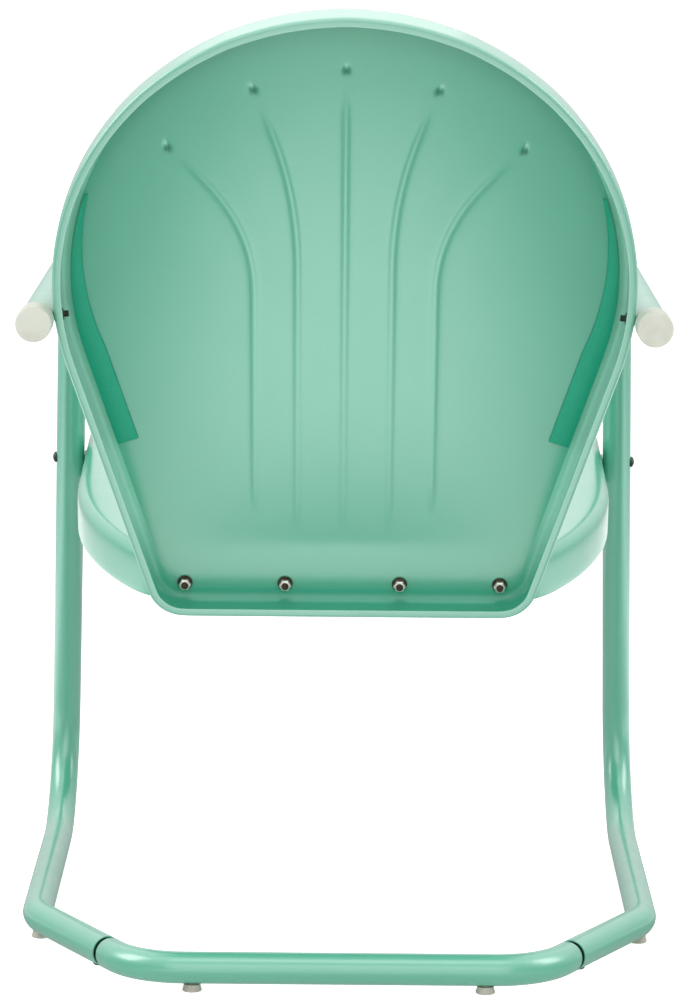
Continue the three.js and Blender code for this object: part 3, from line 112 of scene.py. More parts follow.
# Back shell
SHEET = 1.2 * MM
BACK_RECLINE = radians(18)
BACK_FOOT_AHEAD = 150 * MM
BACK_FOOT_HEIGHT = 305.2 * MM
RIM_HALF_WIDTH = 253.6 * MM
RIM_HEAD_RISE = 247 * MM
RIM_CENTRE_HEIGHT = 317.6 * MM
RIM_SIDE_TAPER = radians(17.2)
RIM_CORNER_RADIUS = 34 * MM
RIM_DEPTH = 33 * MM
FLANGE_WIDTH = 8 * MM
FLANGE_FOLD_RADIUS = 1.6 * MM
FLANGE_FOLD_STEPS = 3
FOLD_CENTRE = SHEET + FLANGE_FOLD_RADIUS
RIM_FILLET_RADIUS = 8.5 * MM
RIM_FILLET_STEPS = 5
PANEL_INSET = SHEET + RIM_FILLET_RADIUS
PANEL_BAND = 3 * MM
GRID_INSET = PANEL_INSET + PANEL_BAND
GRID_RADIUS = RIM_HALF_WIDTH - GRID_INSET
DISH_DEPTH = 20 * MM
DISH_START_HEIGHT = 60 * MM
WALL_SHARES = (0.3, 0.7)

# Flutes pressed into the back, straight and then fanned out to their end dimples
FLUTE_HALF_WIDTH = 5.4 * MM
FLUTE_OFFSET_SHARES = (-1, -0.66, -0.33, 0, 0.33, 0.66, 1)
FLUTE_RISE = 1 * MM
FLUTE_FADE_SHARE = 0.07
FLUTE_TOP_SHARE = 0.965
# Each flute from the middle out: its column's angle at the head, and then, in millimetres, its start and the
# pulls of its fan's curve. The middle one has no fan, only its end.
FLUTE_LINES = (
    (QUARTER_TURN, (0, 72), (0, 509)),
    (radians(66), (41, 72), (41, 330), (41, 400), (56, 442), (79, 491)),
    (radians(46), (79, 90), (79, 310), (79, 365), (105, 402), (153, 438)),
)
SPINE_SAMPLES = 60
SPINE_SPOTS = 180
DIMPLE_RADIUS = 4 * MM
DIMPLE_DEPTH = 3 * MM
FOOT_ROWS = 9
FLUTE_ROWS = 60
HEAD_ROWS = 9
DIMPLE_ROW_SHARES = (0.972, 0.98, 0.988, 0.994)
GAP_COLUMN_SHARES = (0.25, 0.5, 0.75)
SIDE_COLUMN_SHARES = (0.1, 0.22, 0.36, 0.52, 0.68, 0.82, 0.93)
SIDE_FOOT_START_HEIGHT = 88 * MM
SIDE_FLUTE_END_ANGLE = radians(28)
PATCH_CORNER_ANGLE = radians(36)

# Straps that stiffen the back beside its rim
STRAP_LOW_HEIGHT = 154 * MM
STRAP_TOP_ANGLE = radians(19.5)
STRAP_INSET = 15 * MM
STRAP_WIDTH = 18.5 * MM
STRAP_TIP_SHARE = 0.15
STRAP_THICKNESS = 1.2 * MM
STRAP_RISE = 3 * MM
STRAP_EASE = 0.6 * MM
STRAP_LINE_STEPS = 12
STRAP_ARC_STEPS = 30
STRAP_EDGE = 0.35 * MM

# Seat pan
SEAT_TILT = radians(11.5)
SEAT_JOIN_HEIGHT = 44 * MM
SEAT_HALF_WIDTH = 256 * MM
SEAT_DEPTH = 446 * MM
SEAT_FRONT_BOW = 5 * MM
SEAT_FRONT_CORNER_RADIUS = 64 * MM
SEAT_SIDE_ARC_RADIUS = 340 * MM
SEAT_WIDEST_DISTANCE = 225 * MM
SEAT_REAR_HALF_STRAIGHT = 150.99 * MM
SEAT_REAR_CORNER_DISTANCE = 26 * MM
SKIRT_HEIGHT = 44 * MM
SKIRT_FLANGE_WIDTH = 7 * MM
SKIRT_FLANGE_MIDDLE_SHARE = 0.6
SKIRT_FOLD_RADIUS = 1.8 * MM
SKIRT_FOLD_STEPS = 3
SKIRT_ROLL_RADIUS = 12 * MM
SKIRT_ROLL_STEPS = 6
SEAT_CENTRE_SHARE = 0.52
SEAT_BORDER_SCALE = 0.9
SEAT_STEP_SCALE = 0.85
SEAT_STEP_DEPTH = 4 * MM
SEAT_STEP_FOOT_SHARE = 0.9
SEAT_STEP_ROUNDING_SCALE = 0.006
SEAT_DISH_SCALES = (0.78, 0.68, 0.56, 0.44, 0.32, 0.2, 0.1)
SEAT_DISH_DEPTH = 15 * MM
# Steps along the rear, its corner, the side's arc and line, the front corner and the front
SEAT_OUTLINE_STEPS = (16, 10, 22, 10, 14, 16)

# Fasteners
# Sizes of a bolt and a screw: shank radius, head radius and head height
BOLT_SIZES = (3 * MM, 5.5 * MM, 3.2 * MM)
THREAD_DEPTH = 0.35 * MM
THREAD_PITCH = 1 * MM
THREAD_LENGTH = 8 * MM
BOLT_HEAD_STEPS = 6
BOLT_STEPS = 24
BOLT_OVERHANG = 2 * MM
BOLT_END_CHAMFER = 0.5 * MM
NUT_ACROSS_FLATS = 10 * MM
NUT_SIDES = 6
NUT_FLAT_STEPS = 4
NUT_SHARP_ANGLE = radians(25)
NUT_THICKNESS = 5 * MM
NUT_BEVEL = 0.7 * MM
NUT_BORE_RADIUS = 3.3 * MM
WASHER_RADIUS = 6.9 * MM
WASHER_THICKNESS = 1.6 * MM
WASHER_EDGE = 0.25 * MM
WASHER_STEPS = 32
WASHER_CORNER_STEPS = 3
ARM_SPACER_RADIUS = 6.5 * MM
ARM_BOLT_OVERHANG = 4.5 * MM
LEG_SPACER_RADIUS = 7.5 * MM
SPACER_EASE = 0.6 * MM
NUT_EASE = 0.7 * MM
SEAT_BOLT_HALF_SPACINGS = (142.99 * MM, 52 * MM, -52 * MM, -142.99 * MM)
SEAT_BOLT_HEIGHT = 18.6 * MM
LEG_BOLT_HEIGHT = 405.98 * MM
ARM_BOLT_DEPTH = 14.5 * MM
SCREW_SIZES = (2 * MM, 4.2 * MM, 2.4 * MM)
SCREW_LENGTH = 9 * MM

MERGE_DISTANCE = 0.01 * MM
SHARP_ANGLE = radians(35)

# The chair was drawn with its cross tube on Y = 0, and then moved along Y to centre it.
CENTRING_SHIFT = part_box("rear_cross_tube")[1].y - TUBE_RADIUS

# The photograph's view
PHOTO_WIDTH = 690
PHOTO_FOCAL_PIXELS = 3600
SENSOR_WIDTH = 36
CAMERA_DISTANCE = 3058.6 * MM
CAMERA_HEIGHT = 840 * MM
CAMERA_PITCH = radians(7.58)
CAMERA_ROLL = radians(0.5)
CAMERA_SIDE = -1.8 * MM


def lerp(start, end, share):
    return start + (end - start) * share


def smooth_step(share):
    share = min(max(share, 0), 1)
    return share * share * (3 - 2 * share)


def place_on_chair(side, ahead_of_tube):
    half_width, ahead, height = ahead_of_tube
    return Vector((side * half_width, CENTRING_SHIFT - ahead, height))


# Shader nodes


class Wire:
    """A shader socket that takes part in sums. Each sum adds its Math node."""

    def __init__(self, shader, socket):
        self.shader = shader
        self.socket = socket

    def then(self, operation, *values):
        return self.shader.node("ShaderNodeMath", {"operation": operation}, values)

    def __add__(self, other):
        return self.then("ADD", self, other)

    def __sub__(self, other):
        return self.then("SUBTRACT", self, other)

    def __rsub__(self, other):
        return self.then("SUBTRACT", other, self)

    def __mul__(self, other):
        return self.then("MULTIPLY", self, other)

    __radd__ = __add__
    __rmul__ = __mul__


class Shader:
    """The nodes of a material or of the world, added one call at a time."""

    def __init__(self, owner, last_node="Principled BSDF"):
        owner.use_nodes = True
        self.tree = owner.node_tree
        self.last_node = self.tree.nodes[last_node]

    def node(self, kind, settings=None, inputs=(), output=0):
        new_node = self.tree.nodes.new(kind)
        for name, value in (settings or {}).items():
            setattr(new_node, name, value)
        pairs = inputs.items() if isinstance(inputs, dict) else enumerate(inputs)
        for key, value in pairs:
            self.connect(value, new_node.inputs[key])
        return Wire(self, new_node.outputs[output])

    def connect(self, value, socket):
        if isinstance(value, Wire):
            self.tree.links.new(value.socket, socket)
        else:
            socket.default_value = value

    def set(self, **sockets):
        for name, value in sockets.items():
            self.connect(value, self.last_node.inputs[name.replace("_", " ")])

    def axis(self, vector, name):
        return self.node("ShaderNodeSeparateXYZ", {}, (vector,), output=name)

    def noise(self, place, scale, detail):
        return self.node("ShaderNodeTexNoise", {}, {"Vector": place, "Scale": scale, "Detail": detail})

    def spread(self, factor, low, high, to_low=0, to_high=1):
        return self.node("ShaderNodeMapRange", {"clamp": True}, (factor, low, high, to_low, to_high))

    def swing(self, noise, middle, swing):
        """A value that swings about its middle with a noise."""
        below, above = swing
        return self.spread(noise, *NOISE_MIDDLE, middle + below, middle + above)

    def mix(self, factor, first, second):
        inputs = {"Factor": factor, 6: first, 7: second}
        return self.node("ShaderNodeMix", {"data_type": "RGBA"}, inputs, output=2)

    def bump(self, height, distance, strength, **normal):
        inputs = {"Strength": strength, "Distance": distance, "Height": height, **normal}
        return self.node("ShaderNodeBump", {}, inputs)


def linear(red, green, blue):
    """A colour given as 0 to 255 display values, as the shader's linear RGBA, by the sRGB curve."""
    channels = []
    for value in (red, green, blue):
        share = value / 255
        channels.append(share / 12.92 if share <= 0.04045 else ((share + 0.055) / 1.055) ** 2.4)
    return (*channels, 1)


# Finishes: each table of colours holds the finish's colour and the one it turns to in clouds. The rim's and
# the edge's tables are lighter copies of the paint, painted light; the strap's is a darker copy, painted
# shade

PAINT_COLOURS = (linear(87, 188, 156), linear(78, 181, 149))
# Painted light: the rim's wall and fillet, lighter than the paint
RIM_LIT_COLOURS = (linear(148, 222, 197), linear(138, 214, 189))
# Painted light: the flanges and the front's rim, lighter than the paint
EDGE_LIT_COLOURS = (linear(122, 199, 172), linear(113, 191, 164))
# Painted shade: the straps, darker and more saturated than the paint
STRAP_SHADE_COLOURS = (linear(36, 166, 131), linear(29, 156, 120))
CAP_COLOURS = (linear(226, 229, 216), linear(208, 210, 196))
GLIDE_COLOURS = (linear(208, 202, 190), linear(170, 162, 150))
ZINC_COLOURS = (linear(236, 232, 224), linear(196, 192, 184))
# Dark zinc of the seat bolts and their washers: a dark ring round each rear nut
DARK_ZINC_COLOURS = (linear(78, 66, 52), linear(44, 34, 26))
DARK_STEEL_COLOURS = (linear(66, 70, 68), linear(104, 104, 100))
CHALKY_COLOUR = linear(107, 198, 169)
# Painted shade: the rim turns to this darker colour towards the back's foot
RIM_FOOT_SHADE_COLOUR = linear(78, 184, 153)
# Painted shade in the pits at the flutes' ends, fading out between these distances
PIT_SHADE_COLOUR = linear(40, 132, 104)
PIT_SHADE_FADE = (1.5 * MM, 5.5 * MM)
# Heights over which the rim's painted shade at the foot fades out
FOOT_SHADE_HEIGHTS = (335 * MM, 400 * MM)
NOISE_MIDDLE = (0.3, 0.7)

PAINT_ROUGHNESS = 0.33
PAINT_ROUGHNESS_SWING = (-0.04, 0.07)
PAINT_SPECULAR = 0.5
PAINT_COAT_IOR = 2.1
PAINT_COAT_ROUGHNESS = 0.26

# A noise is its scale and detail, a spread is the noise's range and what it becomes, and a relief is the
# bump's distance and strength.
CLOUD_NOISE = (5, 3)
CLOUD_SPREAD = (0.35, 0.68, 0, 0.45)
SPECK_NOISE = (900, 1)
SPECK_SPREAD = (0.55, 0.8, 0, 0.22)
SMEAR_NOISE = (30, 4)
PEEL_NOISE = (260, 2)
PEEL_RELIEF = (0.05 * MM, 0.5)
WAVE_NOISE = (9, 1)
WAVE_RELIEF = (0.5 * MM, 0.4)

# Plastic and plate: the noise and spread of the clouds, the swing of the roughness, and the grain's noise
# and relief
PLASTIC_WEAR = ((55, 5), (0.48, 0.75, 0, 0.7), (-0.05, 0.1), (1400, 2), (0.03 * MM, 0.5))
PLATE_WEAR = ((170, 4), (0.4, 0.7, 0, 0.8), (0, 0.2), (2400, 1), (0.02 * MM, 0.4))
MILKY = {"Subsurface_Weight": 0.4, "Subsurface_Radius": (2 * MM, 2 * MM, 2 * MM), "Subsurface_Scale": 1}


def powder_coat(name, colours, roughness=PAINT_ROUGHNESS, gloss=1, chalky=CHALKY_COLOUR, foot=None, shaded_pits=()):
    """Satin gloss powder coat: faint clouds of colour, an orange-peel skin and slow waves in the sheet. It
    can take painted shade, a darker colour towards the chair's foot, and painted shade, dark and dull, in
    its pits."""
    material = bpy.data.materials.new(name)
    paint = Shader(material)
    place = paint.node("ShaderNodeTexCoord", output="Object")
    # Painted shade: the colour turns darker towards the chair's foot
    if foot:
        above = paint.spread(paint.axis(place, "Z"), *FOOT_SHADE_HEIGHTS)
        colours = [paint.mix(above, foot, colour) for colour in colours]
    cloud = paint.spread(paint.noise(place, *CLOUD_NOISE), *CLOUD_SPREAD)
    speck = paint.spread(paint.noise(place, *SPECK_NOISE), *SPECK_SPREAD)
    base = paint.mix(speck, paint.mix(cloud, *colours), chalky)
    # Painted shade: dark and dull round each pit
    coat = gloss
    for shaded_pit in shaded_pits:
        away = paint.node("ShaderNodeVectorMath", {"operation": "DISTANCE"}, (place, shaded_pit), output="Value")
        clear = paint.spread(away, *PIT_SHADE_FADE)
        base = paint.mix(clear, PIT_SHADE_COLOUR, base)
        coat = clear * coat
    skin = paint.bump(paint.noise(place, *PEEL_NOISE), *PEEL_RELIEF)
    skin = paint.bump(paint.noise(place, *WAVE_NOISE), *WAVE_RELIEF, Normal=skin)
    smear = paint.noise(place, *SMEAR_NOISE)
    paint.set(Base_Color=base, Roughness=paint.swing(smear, roughness, PAINT_ROUGHNESS_SWING), Normal=skin)
    paint.set(Coat_Weight=coat, Coat_IOR=PAINT_COAT_IOR, Coat_Roughness=PAINT_COAT_ROUGHNESS)
    paint.set(Specular_IOR_Level=PAINT_SPECULAR * gloss)
    return material


def fitting_finish(name, colours, wear, roughness, **sockets):
    """The finish of a small moulded or plated fitting: clouds of wear and a fine grain."""
    cloud_noise, spread, roughness_swing, grain_noise, relief = wear
    material = bpy.data.materials.new(name)
    fitting = Shader(material)
    place = fitting.node("ShaderNodeTexCoord", output="Object")
    cloud = fitting.noise(place, *cloud_noise)
    fitting.set(
        Base_Color=fitting.mix(fitting.spread(cloud, *spread), *colours),
        Roughness=fitting.swing(cloud, roughness, roughness_swing),
        Normal=fitting.bump(fitting.noise(place, *grain_noise), *relief),
        **sockets,
    )
    return material


aqua_paint = powder_coat("aqua_powder_coat", PAINT_COLOURS)
# The rim's paint: lighter than the panel's, painted light, and darker at the foot, painted shade
rim_light_and_shade_paint = powder_coat("rim_painted_light_and_shade_coat", RIM_LIT_COLOURS, roughness=0.4, gloss=0.35, foot=RIM_FOOT_SHADE_COLOUR)
# The edge's paint: lighter than the panel's, painted light on the flanges
edge_lit_paint = powder_coat("edge_painted_light_coat", EDGE_LIT_COLOURS)
# The strap's paint: darker and duller than the panel's, painted shade
strap_shade_looks = {"roughness": 0.55, "gloss": 0.1, "chalky": PAINT_COLOURS[0]}
strap_shade_paint = powder_coat("strap_painted_shade_coat", STRAP_SHADE_COLOURS, **strap_shade_looks)
cap_plastic = fitting_finish("off_white_cap_plastic", CAP_COLOURS, PLASTIC_WEAR, roughness=0.5)
glide_plastic = fitting_finish("milky_glide_plastic", GLIDE_COLOURS, PLASTIC_WEAR, roughness=0.35, **MILKY)
zinc_plate = fitting_finish("bright_zinc_plate", ZINC_COLOURS, PLATE_WEAR, roughness=0.24, Metallic=0.95)
dark_zinc = fitting_finish("dark_zinc", DARK_ZINC_COLOURS, PLATE_WEAR, roughness=0.45, Metallic=0.6)
dark_plate = fitting_finish("dark_steel_plate", DARK_STEEL_COLOURS, PLATE_WEAR, roughness=0.36, Metallic=0.8)


# Making pieces


def make_piece(name, form, material, body, *nodes, others=(), sharp_angle=SHARP_ANGLE, recalculate=True):
    """Turns a bmesh into a finished piece that rides on a body and stands for its CAD nodes."""
    bmesh.ops.remove_doubles(form, verts=form.verts, dist=MERGE_DISTANCE)
    if recalculate:
        bmesh.ops.recalc_face_normals(form, faces=form.faces)
    for edge in form.edges:
        edge.smooth = edge.calc_face_angle(0) < sharp_angle
    for face in form.faces:
        face.smooth = True
    piece = object_of(name, form, material, *others)
    if body:
        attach(piece, body)
    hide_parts(*nodes)
    return piece


def object_of(name, form, *materials):
    mesh = bpy.data.meshes.new(name)
    form.to_mesh(mesh)
    form.free()
    for material in materials:
        mesh.materials.append(material)
    return placed(name, mesh)


def placed(name, data):
    holder = bpy.data.objects.new(name, data)
    bpy.context.scene.collection.objects.link(holder)
    return holder


def turned_to(point, direction):
    """The place of a piece made along +Z, so that it points along a direction from a point."""
    turn = Vector((0, 0, 1)).rotation_difference(direction).to_matrix().to_4x4()
    return Matrix.Translation(point) @ turn


def spun(profile, place, steps=SPUN_STEPS):
    """A profile of (radius, height) points spun round Z and put in its place."""
    form = bmesh.new()
    corners = [form.verts.new((radius, 0, height)) for radius, height in profile]
    lines = [form.edges.new(pair) for pair in zip(corners, corners[1:])]
    bmesh.ops.spin(
        form,
        geom=corners + lines,
        cent=(0, 0, 0),
        axis=(0, 0, 1),
        angle=FULL_TURN,
        steps=steps,
        use_merge=True,
    )
    bmesh.ops.transform(form, matrix=place, verts=form.verts)
    return form


def rounded_corner(centre_radius, centre_height, rounding, start_angle, end_angle, steps=CORNER_STEPS):
    """Points round a corner of a profile."""
    points = []
    for i in range(steps + 1):
        angle = lerp(start_angle, end_angle, i / steps)
        radius = centre_radius + rounding * cos(angle)
        points.append((radius, centre_height + rounding * sin(angle)))
    return points


def next_ring(form, ring):
    """Draws a ring of edges out once: the new ring's edges and its corners."""
    drawn = bmesh.ops.extrude_edge_only(form, edges=ring)["geom"]
    corners = [item for item in drawn if isinstance(item, bmesh.types.BMVert)]
    edges = [item for item in drawn if isinstance(item, bmesh.types.BMEdge)]
    known = set(corners)
    return [edge for edge in edges if known.issuperset(edge.verts)], corners


# Routes and tubes


def bend(before, corner, after, radius):
    """Points of the arc that rounds a corner of a route."""
    back = (before - corner).normalized()
    on = (after - corner).normalized()
    half_angle = back.angle(on) / 2
    start = corner + back * (radius / tan(half_angle))
    centre = corner + (back + on).normalized() * (radius / sin(half_angle))
    axis = on.cross(back).normalized()
    turn = pi - 2 * half_angle
    steps = ceil(turn / BEND_STEP)
    spoke = start - centre
    return [centre + Quaternion(axis, turn * i / steps) @ spoke for i in range(steps + 1)]


def straight(start, end):
    """Evenly spaced points between two ends of a straight stretch, without the ends."""
    steps = max(ceil((end - start).length / STRAIGHT_STEP), 1)
    return [start.lerp(end, i / steps) for i in range(1, steps)]


def route(corners, radii):
    """Points along a route whose inner corners are rounded, each with its own radius."""
    points = [corners[0]]
    for i, radius in enumerate(radii):
        arc = bend(*corners[i : i + 3], radius)
        points += [*straight(points[-1], arc[0]), *arc]
    return [*points, *straight(points[-1], corners[-1]), corners[-1]]


def station_frames(points):
    """A frame at each point of a route, its Z along the route and its X turned as little as possible."""
    frames = []
    across = None
    for i, point in enumerate(points):
        along = Vector((0, 0, 0))
        if i > 0:
            along += (point - points[i - 1]).normalized()
        if i + 1 < len(points):
            along += (points[i + 1] - point).normalized()
        along.normalize()
        if across is None:
            across = along.orthogonal()
        across = (across - along * across.dot(along)).normalized()
        frames.append(frame_of(point, across, along.cross(across), along))
    return frames


def frame_of(point, *axes):
    return Matrix.Translation(point) @ Matrix(axes).transposed().to_4x4()


def swept(sections):
    """A circle drawn through sections, each a frame and a radius. The ends stay open."""
    form = bmesh.new()
    scaled = [place @ Matrix.Diagonal((radius, radius, radius, 1)) for place, radius in sections]
    bmesh.ops.create_circle(form, cap_ends=False, segments=TUBE_SIDES, radius=1, matrix=scaled[0])
    ring = list(form.edges)
    for last, new in zip(scaled, scaled[1:]):
        ring, corners = next_ring(form, ring)
        bmesh.ops.transform(form, matrix=new @ last.inverted(), verts=corners)
    return form


def mouth(place, inward):
    """Sections of an open tube end, from inside its bore out to its outer face."""
    bore = TUBE_RADIUS - TUBE_WALL
    sections = (
        (TUBE_INSIDE_SEEN, bore),
        (TUBE_END_ROUNDING, bore),
        (0, bore + TUBE_END_ROUNDING),
        (0, TUBE_RADIUS - TUBE_END_ROUNDING),
        (TUBE_END_ROUNDING, TUBE_RADIUS),
    )
    return [(place @ Matrix.Translation((0, 0, inward * depth)), radius) for depth, radius in sections]


def side_corners(side):
    places = (ARM_END, ARM_CORNER, SPRING_CORNER, REAR_CORNER, SLEEVE_END)
    return [place_on_chair(side, place) for place in places]


def side_tube(side, prefix):
    """Arm, leg, spring bend and runner: one tube from the arm cap to the sleeve at the rear corner."""
    points = route(side_corners(side), (ARM_BEND_RADIUS, SPRING_BEND_RADIUS, REAR_BEND_RADIUS))
    frames = station_frames(points)
    middle = [(place, TUBE_RADIUS) for place in frames[1:-1]]
    form = swept([*mouth(frames[0], 1), *middle, *reversed(mouth(frames[-1], -1))])
    nodes = [f"{prefix}_{part}" for part in ("arm_leg_tube", "spring_bend", "runner_tube")]
    piece = make_piece(f"{prefix}_side_tube", form, aqua_paint, None, *nodes)
    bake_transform(piece)


def cross_tube():
    """The rear cross tube, bent at both ends, each end drawn down to slip into a side tube."""
    rear_corner, sleeve_end = side_corners(1)[3:]
    slant = (rear_corner - sleeve_end).normalized()
    bend_corner = sleeve_end + slant * ((CENTRING_SHIFT - sleeve_end.y) / slant.y)
    middle = Vector((0, CENTRING_SHIFT, TUBE_CENTRE_HEIGHT))
    bend_points = bend(middle, bend_corner, rear_corner, CROSS_BEND_RADIUS)
    half = [(point, TUBE_RADIUS) for point in straight(middle, bend_points[0]) + bend_points]
    end_sections = []
    for i in range(SWAGE_TAPER_STEPS + 1):
        share = i / SWAGE_TAPER_STEPS
        radius = lerp(TUBE_RADIUS, SWAGE_SHOULDER_RADIUS, smooth_step(share))
        end_sections.append((lerp(-SWAGE_TAPER_LENGTH, -JOINT_GROOVE_WIDTH, share), radius))
    end_sections += [
        (JOINT_GROOVE_SLOPE - JOINT_GROOVE_WIDTH, JOINT_GROOVE_RADIUS),
        (JOINT_GROOVE_DEPTH, JOINT_GROOVE_RADIUS),
        (JOINT_GROOVE_DEPTH + JOINT_GROOVE_SLOPE, SPIGOT_RADIUS),
        (SPIGOT_LENGTH, SPIGOT_RADIUS),
    ]
    half += [(sleeve_end + slant * distance, radius) for distance, radius in end_sections]
    mirrored = [(Vector((-point.x, point.y, point.z)), radius) for point, radius in reversed(half)]
    stations = [*mirrored, (middle, TUBE_RADIUS), *half]
    frames = station_frames([point for point, _ in stations])
    form = swept([(place, radius) for place, (_, radius) in zip(frames, stations)])
    bmesh.ops.holes_fill(form, edges=[edge for edge in form.edges if edge.is_boundary], sides=TUBE_SIDES)
    # Painted shade: faces from the groove inwards take dark steel, darkening the joint's gap
    for face in form.faces:
        spot = face.calc_center_median()
        spot.x = abs(spot.x)
        if (spot - sleeve_end).dot(slant) > -JOINT_GROOVE_WIDTH:
            face.material_index = JOINT_SHADE_FINISH
    make_piece("cross_tube", form, aqua_paint, "base", "rear_cross_tube", others=[dark_plate])


# Back shell

back_up = Vector((0, sin(BACK_RECLINE), cos(BACK_RECLINE)))
back_front = Vector((0, -cos(BACK_RECLINE), sin(BACK_RECLINE)))
back_foot = Vector((0, CENTRING_SHIFT - BACK_FOOT_AHEAD, BACK_FOOT_HEIGHT))
back_frame = frame_of(back_foot, Vector((1, 0, 0)), back_up, back_front)

corner_centre_x = (
    RIM_HALF_WIDTH - RIM_CORNER_RADIUS + (RIM_CORNER_RADIUS - RIM_CENTRE_HEIGHT) * sin(RIM_SIDE_TAPER)
) / cos(RIM_SIDE_TAPER)
FOOT, CORNER, SIDE, HEAD = range(4)
EDGE_ON_CORNER = -(QUARTER_TURN + RIM_SIDE_TAPER) / 2


def rim_point(place, inset):
    """A point of the rim's outline, drawn in by an inset. Places run 0 to 1 along half the foot, to 2 round
    its corner, to 3 up the side and to 4 at the top of the head."""
    part = min(int(place), HEAD)
    share = place - part
    if part == FOOT:
        return Vector((corner_centre_x * share, inset))
    if part == CORNER:
        return corner_point(lerp(-QUARTER_TURN, -RIM_SIDE_TAPER, share), inset)
    if part == SIDE:
        return corner_point(-RIM_SIDE_TAPER, inset).lerp(head_point(-RIM_SIDE_TAPER, inset), share)
    return head_point(lerp(-RIM_SIDE_TAPER, QUARTER_TURN, share), inset)


def corner_point(angle, inset):
    radius = RIM_CORNER_RADIUS - inset
    return Vector((corner_centre_x + radius * cos(angle), RIM_CORNER_RADIUS + radius * sin(angle)))


def head_point(angle, inset):
    rise = (RIM_HEAD_RISE if angle > 0 else RIM_HALF_WIDTH) - inset
    return Vector(((RIM_HALF_WIDTH - inset) * cos(angle), RIM_CENTRE_HEIGHT + rise * sin(angle)))


def corner_place(angle):
    return CORNER + (angle + QUARTER_TURN) / (QUARTER_TURN - RIM_SIDE_TAPER)


def side_place(height, inset):
    low = corner_point(-RIM_SIDE_TAPER, inset).y
    high = head_point(-RIM_SIDE_TAPER, inset).y
    return SIDE + (height - low) / (high - low)


def head_place(angle):
    return HEAD + (angle + RIM_SIDE_TAPER) / (QUARTER_TURN + RIM_SIDE_TAPER)


def panel_half_width(height):
    radius = RIM_HALF_WIDTH - PANEL_INSET
    tangent_height = RIM_CENTRE_HEIGHT - radius * sin(RIM_SIDE_TAPER)
    if height >= tangent_height:
        reach = RIM_HEAD_RISE - PANEL_INSET if height > RIM_CENTRE_HEIGHT else radius
        rise = (height - RIM_CENTRE_HEIGHT) / reach
        return radius * sqrt(max(1 - rise * rise, 0))
    return radius * cos(RIM_SIDE_TAPER) - (tangent_height - height) * tan(RIM_SIDE_TAPER)


def panel_depth(point):
    """Depth of the dished panel below the rim's rear plane, without its flutes."""
    top = RIM_CENTRE_HEIGHT + RIM_HEAD_RISE - PANEL_INSET
    if point.y <= DISH_START_HEIGHT or point.y >= top:
        return RIM_DEPTH
    across = point.x / panel_half_width(point.y)
    up = 2 * (point.y - DISH_START_HEIGHT) / (top - DISH_START_HEIGHT) - 1
    return RIM_DEPTH - DISH_DEPTH * max(1 - across * across, 0) * (1 - up * up)


def cubic(pulls, share):
    """A point of a Bezier curve through its pulls."""
    while len(pulls) > 1:
        pulls = [a.lerp(b, share) for a, b in zip(pulls, pulls[1:])]
    return pulls[0]


class Spine:
    """The middle line of a flute, read by share of its length, and the angle of its columns at the head."""

    def __init__(self, head_angle, *line):
        self.head_angle = head_angle
        start, *pulls = [Vector(spot) * MM for spot in line]
        self.points = [start] + [cubic(pulls, i / SPINE_SAMPLES) for i in range(SPINE_SAMPLES + 1)]
        self.lengths = [0]
        for a, b in zip(self.points, self.points[1:]):
            self.lengths.append(self.lengths[-1] + (b - a).length)
        self.spots = [(self.at(i / SPINE_SPOTS)[0], i / SPINE_SPOTS) for i in range(SPINE_SPOTS + 1)]

    def at(self, share):
        """The point and the direction at a share of the spine's length."""
        travel = share * self.lengths[-1]
        i = 0
        while i + 2 < len(self.points) and self.lengths[i + 1] < travel:
            i += 1
        start, end = self.points[i], self.points[i + 1]
        along = (end - start).normalized()
        return start + along * (travel - self.lengths[i]), along

    def beside(self, offset, row):
        """A point beside the middle line in one row."""
        foot, flute, head = row
        middle, along = self.at(flute)
        point = middle + Vector((along.y, -along.x)) * offset
        if foot < 1:
            return Vector((self.points[0].x + offset, GRID_INSET)).lerp(point, foot)
        if head > 0:
            return point.lerp(head_point(self.head_angle - offset / GRID_RADIUS, GRID_INSET), head)
        return point

    def column(self, offset):
        """A column of the panel's grid: its point in a row, and where it meets the rim at foot and head."""
        foot = (self.points[0].x + offset) / corner_centre_x
        head = head_place(self.head_angle - offset / GRID_RADIUS)
        return (lambda row: self.beside(offset, row), foot, head)


spines = [Spine(*line) for line in FLUTE_LINES]


def column_between(first, second, share):
    """The column at a share of the way from one column to another."""
    return (
        lambda row: first[0](row).lerp(second[0](row), share),
        lerp(first[1], second[1], share),
        lerp(first[2], second[2], share),
    )


def back_columns():
    """Columns of one half of the panel, from the middle out."""
    columns = []
    for i, spine in enumerate(spines):
        for share in FLUTE_OFFSET_SHARES:
            if i > 0 or share >= 0:
                columns.append(spine.column(share * FLUTE_HALF_WIDTH))
        if spine is spines[-1]:
            following = (
                lambda row: rim_point(place_beside(row), GRID_INSET),
                corner_place(EDGE_ON_CORNER),
                head_place(PATCH_CORNER_ANGLE),
            )
            shares = (*SIDE_COLUMN_SHARES, 1)
        else:
            following = spines[i + 1].column(-FLUTE_HALF_WIDTH)
            shares = GAP_COLUMN_SHARES
        last = columns[-1]
        columns += [column_between(last, following, share) for share in shares]
    return columns


def back_rows():
    """Rows from the foot to the head, each as (foot, flute, head) shares of its stretch."""
    rows = [(i / FOOT_ROWS, 0, 0) for i in range(FOOT_ROWS)]
    flute_shares = [i / FLUTE_ROWS for i in range(FLUTE_ROWS)] + list(DIMPLE_ROW_SHARES)
    rows += [(1, share, 0) for share in sorted(flute_shares)]
    rows += [(1, 1, i / HEAD_ROWS) for i in range(HEAD_ROWS + 1)]
    return rows


